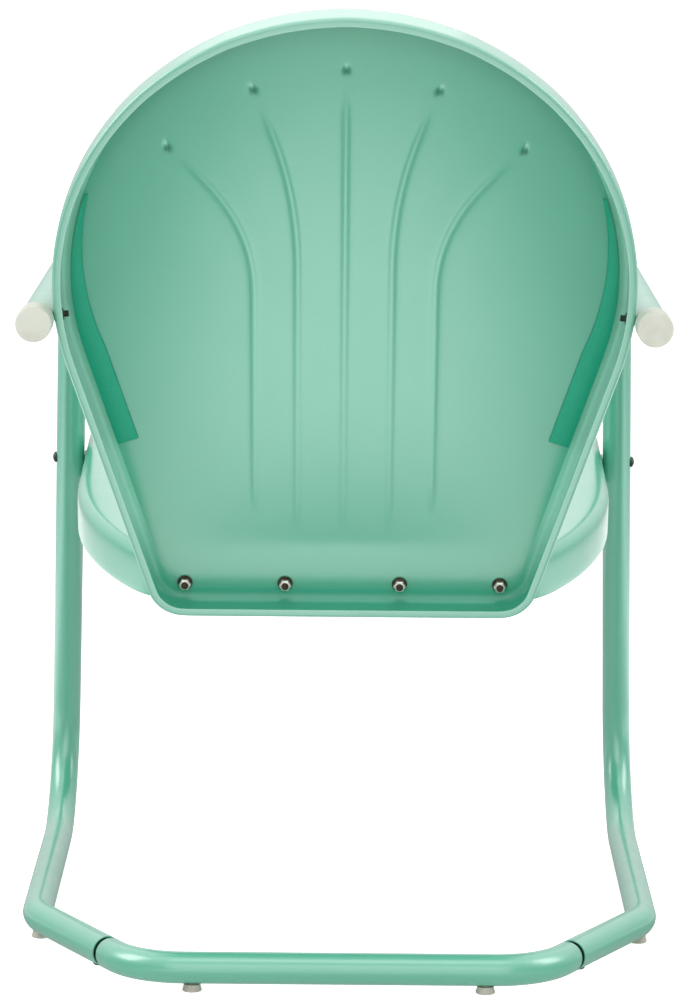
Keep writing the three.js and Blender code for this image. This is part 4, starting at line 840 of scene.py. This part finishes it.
def place_beside(row):
    """The rim's place beside a row of the panel."""
    foot, flute, head = row
    start = side_place(SIDE_FOOT_START_HEIGHT, GRID_INSET)
    if foot < 1:
        return lerp(corner_place(EDGE_ON_CORNER), start, foot)
    if flute < 1:
        line = (rim_point(HEAD, GRID_INSET) - rim_point(start, GRID_INSET)).length
        arc = GRID_RADIUS * (RIM_SIDE_TAPER + SIDE_FLUTE_END_ANGLE)
        travel = flute * (line + arc)
        if travel < line:
            return lerp(start, HEAD, travel / line)
        return head_place(-RIM_SIDE_TAPER + (travel - line) / GRID_RADIUS)
    return head_place(lerp(SIDE_FLUTE_END_ANGLE, PATCH_CORNER_ANGLE, head))


def flute_relief(point):
    """How far the pressed flutes and their end dimples lift the panel at a point."""
    lift = 0
    for spine in spines:
        distance, share = min(((point - spot).length, at) for spot, at in spine.spots)
        if distance < FLUTE_HALF_WIDTH and 0 < share < FLUTE_TOP_SHARE:
            crest = (1 + cos(pi * distance / FLUTE_HALF_WIDTH)) / 2
            fade = min(share, FLUTE_TOP_SHARE - share) / FLUTE_FADE_SHARE
            lift = max(lift, FLUTE_RISE * crest * smooth_step(fade))
        to_dimple = (point - spine.points[-1]).length / DIMPLE_RADIUS
        if to_dimple < 1:
            lift -= DIMPLE_DEPTH * (1 + cos(pi * to_dimple)) / 2
    return lift


def rim_profile():
    """The rim's inner section from the panel to the flange's free edge, as (inset, depth) points."""
    wall_start = RIM_DEPTH - RIM_FILLET_RADIUS
    fold = FOLD_CENTRE
    return [
        *rounded_corner(PANEL_INSET, wall_start, RIM_FILLET_RADIUS, QUARTER_TURN, pi, RIM_FILLET_STEPS),
        *[(SHEET, lerp(wall_start, fold, share)) for share in WALL_SHARES],
        *rounded_corner(fold, fold, FLANGE_FOLD_RADIUS, pi, pi + QUARTER_TURN, FLANGE_FOLD_STEPS),
        *[(lerp(fold, FLANGE_WIDTH, share), SHEET) for share in (*WALL_SHARES, 1)],
    ]


RIM_FINISH, EDGE_FINISH, FRONT_FINISH_OFFSET = 1, 2, 3


def panel_paint():
    """The panel's own coat, with painted shade in the pits at the ends of its flutes."""
    shaded_pits = []
    for spine in spines:
        end = spine.points[-1]
        places = [(side * end.x, end.y, panel_depth(end)) for side, _ in SIDES if side > 0 or end.x > 0]
        shaded_pits += [back_frame @ Vector(place) for place in places]
    return powder_coat("panel_powder_coat", PAINT_COLOURS, shaded_pits=shaded_pits)


def back_shell():
    """The back: one pressed sheet, its fluted panel grown out of a grid and its rim drawn out ring by ring.
    Its paints are the panel's, the rim's and the edge's seen from the rear, then the same from the front.
    The rim's and the edge's are lighter copies of the paint, painted light, and the rim's holds painted
    shade at its foot."""
    columns = back_columns()
    rows = back_rows()
    middle = len(columns) - 1
    last_row = len(rows) - 1
    form = bmesh.new()
    place_layer = form.verts.layers.float.new("rim_place")
    side_layer = form.verts.layers.float.new("rim_side")
    bmesh.ops.create_grid(form, x_segments=2 * middle, y_segments=last_row, size=1)
    for vertex in form.verts:
        column = round(vertex.co.x * middle)
        at = round((vertex.co.y + 1) / 2 * last_row)
        side = -1 if column < 0 else 1
        point_in, foot, head = columns[abs(column)]
        if at == 0:
            place = foot
        elif at == last_row:
            place = head
        else:
            place = place_beside(rows[at])
        on_edge = at in (0, last_row) or abs(column) == middle
        point = rim_point(place, GRID_INSET) if on_edge else point_in(rows[at])
        vertex.co = (side * point.x, point.y, panel_depth(point) - flute_relief(point))
        vertex[place_layer] = place
        vertex[side_layer] = side
    ring = [edge for edge in form.edges if edge.is_boundary]
    for inset, depth in rim_profile():
        earlier_faces = set(form.faces)
        ring, corners = next_ring(form, ring)
        for vertex in corners:
            point = rim_point(vertex[place_layer], inset)
            vertex.co = (vertex[side_layer] * point.x, point.y, depth)
        finish = RIM_FINISH if depth > FOLD_CENTRE + MERGE_DISTANCE else EDGE_FINISH
        for face in set(form.faces) - earlier_faces:
            face.material_index = finish
    # The rim and the edges, rear and front, take the lighter copies of the paint, painted light
    others = (rim_light_and_shade_paint, edge_lit_paint, aqua_paint, edge_lit_paint, edge_lit_paint)
    finishes = (panel_paint(), others, FRONT_FINISH_OFFSET)
    pressed_sheet("fluted_back", form, back_frame, -back_front, "back_shell", *finishes)


def pressed_sheet(name, form, place, facing, node, material=aqua_paint, others=(), finish_offset=0):
    """A skin put in its place with its face turned out, a second skin behind it, and one subdivision."""
    bmesh.ops.transform(form, matrix=place, verts=form.verts)
    bmesh.ops.recalc_face_normals(form, faces=form.faces)
    if sum(face.normal.dot(facing) * face.calc_area() for face in form.faces) < 0:
        bmesh.ops.reverse_faces(form, faces=form.faces)
    piece = make_piece(name, form, material, "upper", node, others=others, sharp_angle=pi, recalculate=False)
    wall = piece.modifiers.new("sheet", "SOLIDIFY")
    wall.thickness = SHEET
    wall.offset = -1
    wall.use_even_offset = True
    wall.use_quality_normals = True
    wall.material_offset = finish_offset
    wall.material_offset_rim = finish_offset
    smooth = piece.modifiers.new("smooth", "SUBSURF")
    smooth.levels = 1
    smooth.render_levels = 1


def strap(side, prefix):
    """A strap along the panel's edge, its outer edge standing off, that narrows towards its upper end."""
    start = side_place(STRAP_LOW_HEIGHT, 0)
    places = [lerp(start, HEAD, i / STRAP_LINE_STEPS) for i in range(STRAP_LINE_STEPS)]
    for i in range(STRAP_ARC_STEPS + 1):
        places.append(head_place(lerp(-RIM_SIDE_TAPER, STRAP_TOP_ANGLE, i / STRAP_ARC_STEPS)))
    form = bmesh.new()
    corners = [form.verts.new() for _ in range(4)]
    ring = [form.edges.new(pair) for pair in zip(corners, corners[1:] + corners[:1])]
    first_face = form.faces.new(corners)
    for i, place in enumerate(places):
        if i > 0:
            ring, corners = next_ring(form, ring)
        narrowing = max((i - STRAP_LINE_STEPS) / STRAP_ARC_STEPS, 0)
        width = STRAP_WIDTH * lerp(1, STRAP_TIP_SHARE, narrowing)
        outer = rim_point(place, STRAP_INSET)
        inner = rim_point(place, STRAP_INSET + width)
        inner_depth = panel_depth(inner) - STRAP_EASE
        outer_depth = panel_depth(outer) - STRAP_EASE - STRAP_RISE
        spots = (
            (outer, outer_depth),
            (inner, inner_depth),
            (inner, inner_depth - STRAP_THICKNESS),
            (outer, outer_depth - STRAP_THICKNESS),
        )
        for corner, (spot, depth) in zip(corners, spots):
            corner.co = (side * spot.x, spot.y, depth)
    last_face = form.faces.new(corners)
    bmesh.ops.recalc_face_normals(form, faces=form.faces)
    end_edges = {*first_face.edges, *last_face.edges}
    bmesh.ops.bevel(
        form,
        geom=[edge for edge in form.edges if edge in end_edges or edge.calc_face_angle(0) > SHARP_ANGLE],
        offset=STRAP_EDGE,
        affect="EDGES",
        segments=2,
        profile=0.5,
        material=-1,
    )
    bmesh.ops.transform(form, matrix=back_frame, verts=form.verts)
    make_piece(f"{prefix}_stiffener_strap", form, strap_shade_paint, "upper", f"{prefix}_back_stiffener")


# Seat pan

seat_origin = back_frame @ Vector((0, SEAT_JOIN_HEIGHT, RIM_DEPTH + SHEET + JOINT_GAP))
seat_rear = Vector((0, cos(SEAT_TILT), -sin(SEAT_TILT)))
seat_up = Vector((0, sin(SEAT_TILT), cos(SEAT_TILT)))
seat_frame = frame_of(seat_origin, Vector((1, 0, 0)), seat_rear, seat_up)


def seat_half_outline():
    """Right half of the seat's outline from its rear to its front, as (across, ahead) points."""
    rear_steps, rear_corner_steps, side_steps, line_steps, corner_steps, front_steps = SEAT_OUTLINE_STEPS
    side_centre_x = SEAT_HALF_WIDTH - SEAT_SIDE_ARC_RADIUS
    side_start = -asin((SEAT_WIDEST_DISTANCE - SEAT_REAR_CORNER_DISTANCE) / SEAT_SIDE_ARC_RADIUS)
    side = arc_points(side_centre_x, SEAT_WIDEST_DISTANCE, SEAT_SIDE_ARC_RADIUS, side_start, 0, side_steps)
    tip_x = side_centre_x + sqrt(SEAT_SIDE_ARC_RADIUS**2 - SEAT_WIDEST_DISTANCE**2)
    rear_end = Vector((SEAT_REAR_HALF_STRAIGHT, 0))
    corner_x = SEAT_HALF_WIDTH - SEAT_FRONT_CORNER_RADIUS
    corner_y = SEAT_DEPTH - SEAT_FRONT_BOW - SEAT_FRONT_CORNER_RADIUS
    corner = arc_points(corner_x, corner_y, SEAT_FRONT_CORNER_RADIUS, 0, QUARTER_TURN, corner_steps)
    front = [Vector((corner_x, SEAT_DEPTH - SEAT_FRONT_BOW))]
    front += [Vector((x, SEAT_DEPTH)) for x in (corner_x / 2, 0)]
    return [
        *curve([Vector((0, 0)), rear_end], rear_steps),
        *curve([rear_end, Vector((tip_x, 0)), side[0]], rear_corner_steps),
        *side,
        *curve([Vector((SEAT_HALF_WIDTH, y)) for y in (SEAT_WIDEST_DISTANCE, corner_y)], line_steps),
        *corner,
        *curve(front, front_steps),
        front[-1],
    ]


def arc_points(*arc):
    """The points of a rounded corner without its last."""
    return [Vector(point) for point in rounded_corner(*arc)[:-1]]


def curve(pulls, steps):
    """The points of a curve without its last."""
    return [cubic(pulls, i / steps) for i in range(steps)]


def skirt_rings():
    """Rings of the seat's skirt from its inward flange to the top of its roll, as (inset, drop)."""
    fold, roll = SKIRT_FOLD_RADIUS, SKIRT_ROLL_RADIUS
    return [
        (SKIRT_FLANGE_WIDTH, SKIRT_HEIGHT),
        (lerp(SKIRT_FLANGE_WIDTH, fold, SKIRT_FLANGE_MIDDLE_SHARE), SKIRT_HEIGHT),
        *rounded_corner(fold, SKIRT_HEIGHT - fold, fold, QUARTER_TURN, pi, SKIRT_FOLD_STEPS),
        (0, (SKIRT_HEIGHT + roll) / 2),
        *rounded_corner(roll, roll, roll, pi, pi + QUARTER_TURN, SKIRT_ROLL_STEPS),
    ]


def dish_rings():
    """Rings of the seat from its border over the step into the dish, as (scale, drop)."""
    soft = SEAT_STEP_ROUNDING_SCALE
    step_slope = SEAT_STEP_DEPTH / (SEAT_BORDER_SCALE - SEAT_STEP_SCALE)
    rings = [
        ((SEAT_BORDER_SCALE + 1) / 2, 0),
        (SEAT_BORDER_SCALE + soft, 0),
        (SEAT_BORDER_SCALE - soft, soft * step_slope),
        (SEAT_STEP_SCALE + soft, SEAT_STEP_DEPTH * SEAT_STEP_FOOT_SHARE),
        (SEAT_STEP_SCALE - soft, SEAT_STEP_DEPTH),
    ]
    for scale in SEAT_DISH_SCALES:
        fill = 1 - (scale / SEAT_STEP_SCALE) ** 2
        rings.append((scale, lerp(SEAT_STEP_DEPTH, SEAT_DISH_DEPTH, fill)))
    return rings


def seat_pan():
    """The seat: one pressed sheet drawn ring by ring from its skirt's flange over the roll into the dish."""
    half = seat_half_outline()
    outline = half + [Vector((-point.x, point.y)) for point in reversed(half[1:-1])]
    normals = []
    for before, after in zip(outline[-1:] + outline[:-1], outline[1:] + outline[:1]):
        run = (after - before).normalized()
        normals.append(Vector((run.y, -run.x)))
    lean = tan(BACK_RECLINE - SEAT_TILT)
    centre_y = -SEAT_DEPTH * SEAT_CENTRE_SHARE

    def skirt_point(i, inset, drop):
        forward = drop * lean * max(-normals[i].y, 0) ** 2
        point = outline[i] - normals[i] * inset
        return Vector((point.x, -point.y - forward, -drop))

    def dish_point(i, scale, drop):
        edge = skirt_point(i, SKIRT_ROLL_RADIUS, 0)
        return Vector((edge.x * scale, lerp(centre_y, edge.y, scale), -drop))

    form = bmesh.new()
    index_layer = form.verts.layers.int.new("outline_index")
    bmesh.ops.create_circle(form, cap_ends=False, segments=len(outline), radius=1)
    for i, vertex in enumerate(form.verts):
        vertex[index_layer] = i
    ring = list(form.edges)
    corners = list(form.verts)
    rings = [(skirt_point, *ring_sizes) for ring_sizes in skirt_rings()]
    rings += [(dish_point, *ring_sizes) for ring_sizes in dish_rings()]
    for at, (point_in, size, drop) in enumerate(rings):
        if at > 0:
            ring, corners = next_ring(form, ring)
        for vertex in corners:
            vertex.co = point_in(vertex[index_layer], size, drop)
    _, middle_corners = next_ring(form, ring)
    bmesh.ops.pointmerge(form, verts=middle_corners, merge_co=Vector((0, centre_y, -SEAT_DISH_DEPTH)))
    pressed_sheet("dished_seat", form, seat_frame, seat_up, "seat_pan")


# Caps and glides


def arm_cap(side, prefix):
    arm_end, arm_corner = side_corners(side)[:2]
    rim = WASHER_EDGE
    crown_radius = CAP_RADIUS - CAP_EDGE_RADIUS
    top = CAP_END_THICKNESS - CAP_CROWN
    profile = [
        (0, JOINT_GAP),
        (CAP_BORE, JOINT_GAP),
        (CAP_BORE, -CAP_LENGTH),
        *rounded_corner(CAP_RADIUS - rim, rim - CAP_LENGTH, rim, -QUARTER_TURN, 0),
        (CAP_RADIUS, CAP_LIP_LENGTH - CAP_LENGTH),
        *rounded_corner(crown_radius, top - CAP_EDGE_RADIUS, CAP_EDGE_RADIUS, 0, QUARTER_TURN),
        (crown_radius / 2, top + CAP_CROWN * CAP_CROWN_SHARE),
        (0, top + CAP_CROWN),
    ]
    form = spun(profile, turned_to(arm_end, arm_end - arm_corner))
    make_piece(f"{prefix}_cap", form, cap_plastic, "upper", f"{prefix}_arm_cap")


def glide(prefix, position):
    """A floor glide, round and flat, on the middle of its CAD node."""
    node = f"{prefix}_{position}_glide"
    low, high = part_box(node)
    middle = (low + high) / 2
    profile = [
        (0, 0),
        *rounded_corner(GLIDE_RADIUS - GLIDE_EDGE, GLIDE_EDGE, GLIDE_EDGE, -QUARTER_TURN, 0),
        (GLIDE_COLLAR_RADIUS, GLIDE_HEIGHT - GLIDE_COLLAR_HEIGHT),
        (GLIDE_COLLAR_RADIUS, GLIDE_HEIGHT),
        (GLIDE_STEM_RADIUS, GLIDE_HEIGHT),
        (GLIDE_STEM_RADIUS, GLIDE_STEM_TOP),
        (0, GLIDE_STEM_TOP),
    ]
    form = spun(profile, Matrix.Translation((middle.x, middle.y, 0)))
    make_piece(f"{prefix}_{position}_foot", form, glide_plastic, "base", node)


# Fasteners


def bolt(name, node, material, body, place, length, sizes=BOLT_SIZES):
    """A bolt with a domed head below zero and a turned thread towards its end."""
    radius, head_radius, head_height = sizes
    profile = [(0, -head_height)]
    for i in range(1, BOLT_HEAD_STEPS + 1):
        angle = QUARTER_TURN * i / BOLT_HEAD_STEPS
        profile.append((head_radius * sin(angle), -head_height * cos(angle)))
    profile += [(head_radius, 0), (radius, 0)]
    turns = int(min(THREAD_LENGTH, length - 2 * THREAD_PITCH) / THREAD_PITCH)
    thread_start = length - BOLT_END_CHAMFER - turns * THREAD_PITCH
    for i in range(turns):
        crest = thread_start + i * THREAD_PITCH
        profile += [(radius, crest), (radius - THREAD_DEPTH, crest + THREAD_PITCH / 2)]
    profile += [(radius, length - BOLT_END_CHAMFER), (radius - BOLT_END_CHAMFER, length), (0, length)]
    make_piece(name, spun(profile, place, BOLT_STEPS), material, body, node)


def nut(name, node, material, place):
    """A hexagon nut with rounded edges and a bore that shows round the bolt."""
    corner_radius = NUT_ACROSS_FLATS / 2 / cos(pi / NUT_SIDES)
    scale = 1 - NUT_BEVEL / corner_radius
    form = bmesh.new()
    bmesh.ops.create_circle(form, cap_ends=False, segments=NUT_SIDES * NUT_FLAT_STEPS, radius=corner_radius)
    for vertex in form.verts:
        angle = atan2(vertex.co.y, vertex.co.x) % (FULL_TURN / NUT_SIDES) - pi / NUT_SIDES
        vertex.co *= scale * cos(pi / NUT_SIDES) / cos(angle)
    lower = ring = list(form.edges)
    flat_height = NUT_THICKNESS - 2 * NUT_BEVEL
    for rise, change in ((NUT_BEVEL, 1 / scale), (flat_height, 1), (NUT_BEVEL, scale)):
        ring, corners = next_ring(form, ring)
        bmesh.ops.translate(form, vec=(0, 0, rise), verts=corners)
        bmesh.ops.scale(form, vec=(change, change, 1), verts=corners)
    for loop in (lower, ring):
        for corner in next_ring(form, loop)[1]:
            flat = Vector((corner.co.x, corner.co.y, 0)).normalized() * NUT_BORE_RADIUS
            corner.co = (flat.x, flat.y, corner.co.z)
    bmesh.ops.bridge_loops(form, edges=[edge for edge in form.edges if edge.is_boundary])
    bmesh.ops.transform(form, matrix=place, verts=form.verts)
    make_piece(name, form, material, "upper", node, sharp_angle=NUT_SHARP_ANGLE)


def washer(name, node, material, place, radius, thickness):
    """A flat ring or a spacer, its outer edges rounded."""
    corner = radius - WASHER_EDGE
    profile = [
        (NUT_BORE_RADIUS, 0),
        *rounded_corner(corner, WASHER_EDGE, WASHER_EDGE, -QUARTER_TURN, 0, WASHER_CORNER_STEPS),
        *rounded_corner(corner, thickness - WASHER_EDGE, WASHER_EDGE, 0, QUARTER_TURN, WASHER_CORNER_STEPS),
        (NUT_BORE_RADIUS, thickness),
        (NUT_BORE_RADIUS, 0),
    ]
    make_piece(name, spun(profile, place, WASHER_STEPS), material, "upper", node)


def bolted(names, nodes, finishes, start, along, distances, ring_radius, ring_thickness, overhang):
    """A bolt, the washer or spacer on it and its nut, each at its distance along a line."""
    at = [turned_to(start + along * distance, along) for distance in distances]
    length = distances[2] - distances[0] + NUT_THICKNESS + overhang
    bolt(names[0], nodes[0], finishes[0], "upper", at[0], length)
    washer(names[1], nodes[1], finishes[1], at[1], ring_radius, ring_thickness)
    nut(names[2], nodes[2], finishes[2], at[2])


def seat_bolt(number, x):
    """Through the back's foot and the seat's rear skirt, its head to the front and its nut to the rear."""
    names = [f"back_{kind}_{number}" for kind in ("bolt", "washer", "nut")]
    nodes = [f"seat_{kind}_{number}" for kind in ("bolt", "washer", "nut")]
    head_distance = -RIM_DEPTH - 2 * (SHEET + JOINT_GAP)
    washer_distance = JOINT_GAP - RIM_DEPTH
    distances = (head_distance, washer_distance, washer_distance + WASHER_THICKNESS + JOINT_GAP)
    start = back_frame @ Vector((x, SEAT_BOLT_HEIGHT, 0))
    finishes = (dark_zinc, dark_zinc, zinc_plate)
    sizes = (WASHER_RADIUS, WASHER_THICKNESS, BOLT_OVERHANG)
    bolted(names, nodes, finishes, start, -back_front, distances, *sizes)


def side_bolt(stem, centre, inward, to_sheet, spacer_radius, overhang):
    """From outside a side tube, with a spacer between tube and sheet and a nut behind the sheet."""
    names = [f"{stem}_fixing_{kind}" for kind in ("bolt", "spacer", "nut")]
    nodes = [f"{stem}_{kind}" for kind in ("bolt", "spacer", "nut")]
    distances = (-TUBE_RADIUS - JOINT_GAP, TUBE_RADIUS + SPACER_EASE, to_sheet + SHEET + NUT_EASE)
    spacer_length = to_sheet - JOINT_GAP - distances[1]
    finishes = (dark_plate, aqua_paint, dark_plate)
    bolted(names, nodes, finishes, centre, inward, distances, spacer_radius, spacer_length, overhang)


def side_bolts(side, prefix):
    arm_end, arm_corner, spring_corner = side_corners(side)[:3]
    share = (arm_corner.z - LEG_BOLT_HEIGHT) / (arm_corner.z - spring_corner.z)
    leg = arm_corner.lerp(spring_corner, share)
    to_skirt = abs(leg.x) - SEAT_HALF_WIDTH
    side_bolt(f"{prefix}_leg", leg, Vector((-side, 0, 0)), to_skirt, LEG_SPACER_RADIUS, BOLT_OVERHANG)
    into_back = back_frame.inverted()
    end = into_back @ arm_end
    corner = into_back @ arm_corner
    crossing = end.lerp(corner, (ARM_BOLT_DEPTH - end.z) / (corner.z - end.z))
    from_centre = Vector((crossing.x, crossing.y - RIM_CENTRE_HEIGHT, 0))
    inward = (back_frame.to_3x3() @ -from_centre).normalized()
    to_rim = from_centre.length - RIM_HALF_WIDTH
    side_bolt(f"{prefix}_arm", back_frame @ crossing, inward, to_rim, ARM_SPACER_RADIUS, ARM_BOLT_OVERHANG)


def joint_screw(side, prefix):
    rear_corner, sleeve_end = side_corners(side)[3:]
    screw = sleeve_end + (rear_corner - sleeve_end).normalized() * SCREW_SETBACK
    screw.z -= TUBE_RADIUS + JOINT_GAP
    names = (f"{prefix}_sleeve_screw", f"{prefix}_joint_screw")
    bolt(*names, dark_plate, "base", Matrix.Translation(screw), SCREW_LENGTH, SCREW_SIZES)


# The chair

back_shell()
seat_pan()
cross_tube()
for number, x in enumerate(SEAT_BOLT_HALF_SPACINGS, 1):
    seat_bolt(number, x)
for side, prefix in SIDES:
    side_tube(side, prefix)
    strap(side, prefix)
    arm_cap(side, prefix)
    side_bolts(side, prefix)
    joint_screw(side, prefix)
    for position in ("front", "corner", "rear"):
        glide(prefix, position)


# Floor, background, lights and camera

WHITE = (1, 1, 1, 1)
FLOOR_SIZE = 30
FLOOR_COLOURS = (linear(248, 248, 248), linear(244, 244, 244))
FLOOR_CLOUDS = (3, 3)
FLOOR_ROUGHNESS = 0.9
FLOOR_SPECULAR = 0.1
FLOOR_GLOW = 0.8
FLOOR_SHINE = 1.55
FLOOR_MIRRORED_COLOUR = (0.15, 0.15, 0.15, 1)
POOL_SIDE_FADE = (0.18, 0.52)
POOL_REAR_FADE = (1.2, 3)
POOL_FRONT_FADE = (0.33, 0.56)
POOL_FRONT_SHARE = 0.3
SIDE_FLOOR_SHINE = 1.7
SIDE_FLOOR_FADE = (0.3, 0.9)
SIDE_FLOOR_SETBACK = 0.7
SETBACK_FADE = (0, 0.5)
FAR_SIDE_FADE = (0.8, 1.5)
FAR_SIDE_SHARE = 0.3
HORIZON_SHINE = 0.65
ZENITH_SHINE = 2.1
FRONT_SKY_SHARE = 0.95
REAR_SKY_SHARE = 0.5
WORLD_GLOW = 0.55
CHAIR_MIDDLE = (0, 0, 0.45)

# Each lamp's place, the spot that it is turned to, its width and height, and its watts
LAMPS = {
    "left_softbox": ((2.5, 0.5, 1.9), CHAIR_MIDDLE, (1.4, 1.8), 28),
    "right_softbox": ((-2.5, 0.5, 1.9), CHAIR_MIDDLE, (1.4, 1.8), 22),
    "front_top_softbox": ((0.2, -2.2, 2.7), CHAIR_MIDDLE, (2.2, 1.6), 5),
    "overhead_softbox": ((0, 1.4, 2.8), (0, 0.2, 0), (2, 1), 6),
    "camera_softbox": ((0, 3.6, 1.3), CHAIR_MIDDLE, (3, 2.4), 22),
}


def add_floor():
    """A pale floor. Reflections show it dark but for a bright pool behind the chair and one on each side."""
    material = bpy.data.materials.new("pale_floor")
    floor = Shader(material)
    place = floor.node("ShaderNodeTexCoord", output="Object")
    camera_rays = floor.node("ShaderNodeLightPath", output="Is Camera Ray")
    shiny_rays = floor.node("ShaderNodeLightPath", output="Is Glossy Ray")
    white = floor.mix(floor.noise(place, *FLOOR_CLOUDS), *FLOOR_COLOURS)
    sideways = floor.node("ShaderNodeMath", {"operation": "ABSOLUTE"}, (floor.axis(place, "X"),))
    rearward = floor.axis(place, "Y")
    pool = floor.spread(sideways, *POOL_SIDE_FADE, FLOOR_SHINE, 0)
    pool = pool * floor.spread(rearward, *POOL_REAR_FADE, 1, 0)
    pool = pool * floor.spread(rearward, *POOL_FRONT_FADE, POOL_FRONT_SHARE, 1)
    setback = floor.spread(rearward, *SETBACK_FADE, 0, SIDE_FLOOR_SETBACK)
    beside = floor.spread(sideways - setback, *SIDE_FLOOR_FADE, 0, SIDE_FLOOR_SHINE)
    beside = beside * floor.spread(sideways, *FAR_SIDE_FADE, 1, FAR_SIDE_SHARE)
    floor.set(
        Base_Color=floor.mix(shiny_rays, white, FLOOR_MIRRORED_COLOUR),
        Roughness=FLOOR_ROUGHNESS,
        Specular_IOR_Level=FLOOR_SPECULAR,
        Emission_Color=WHITE,
        Emission_Strength=camera_rays * FLOOR_GLOW + shiny_rays * (pool + beside),
    )
    form = bmesh.new()
    bmesh.ops.create_grid(form, x_segments=1, y_segments=1, size=FLOOR_SIZE)
    object_of("pale_floor", form, material)


def add_world():
    """White to the camera, softer in reflections and as a source of light."""
    world = bpy.data.worlds.new("studio")
    bpy.context.scene.world = world
    sky = Shader(world, "Background")
    look = sky.node("ShaderNodeTexCoord", output="Generated")
    shine = sky.spread(sky.axis(look, "Z"), 0, 1, HORIZON_SHINE, ZENITH_SHINE)
    shine = shine * sky.spread(sky.axis(look, "Y"), -1, 1, FRONT_SKY_SHARE, REAR_SKY_SHARE)
    shiny_rays = sky.node("ShaderNodeLightPath", output="Is Glossy Ray")
    camera_rays = sky.node("ShaderNodeLightPath", output="Is Camera Ray")
    seen = sky.spread(shiny_rays, 0, 1, WORLD_GLOW, shine)
    sky.set(Color=WHITE, Strength=seen.then("MAXIMUM", camera_rays, seen))


def add_lamp(name, place, target, size, power):
    lamp = bpy.data.lights.new(name, "AREA")
    lamp.shape = "RECTANGLE"
    lamp.size, lamp.size_y = size
    lamp.energy = power
    holder = placed(name, lamp)
    holder.location = place
    aim = Vector(target) - Vector(place)
    holder.rotation_euler = aim.to_track_quat("-Z", "Y").to_euler()


def add_camera():
    camera = bpy.data.cameras.new("photo_camera")
    camera.sensor_fit = "HORIZONTAL"
    camera.sensor_width = SENSOR_WIDTH
    camera.lens = SENSOR_WIDTH * PHOTO_FOCAL_PIXELS / PHOTO_WIDTH
    holder = placed("photo_camera", camera)
    holder.location = (CAMERA_SIDE, CAMERA_DISTANCE + CENTRING_SHIFT, CAMERA_HEIGHT)
    level = Matrix.Rotation(pi, 3, "Z") @ Matrix.Rotation(QUARTER_TURN - CAMERA_PITCH, 3, "X")
    holder.rotation_euler = (level @ Matrix.Rotation(CAMERA_ROLL, 3, "Z")).to_euler()
    bpy.context.scene.camera = holder


add_floor()
add_world()
for name, settings in LAMPS.items():
    add_lamp(name, *settings)
add_camera()
bpy.context.scene.view_settings.view_transform = "Standard"
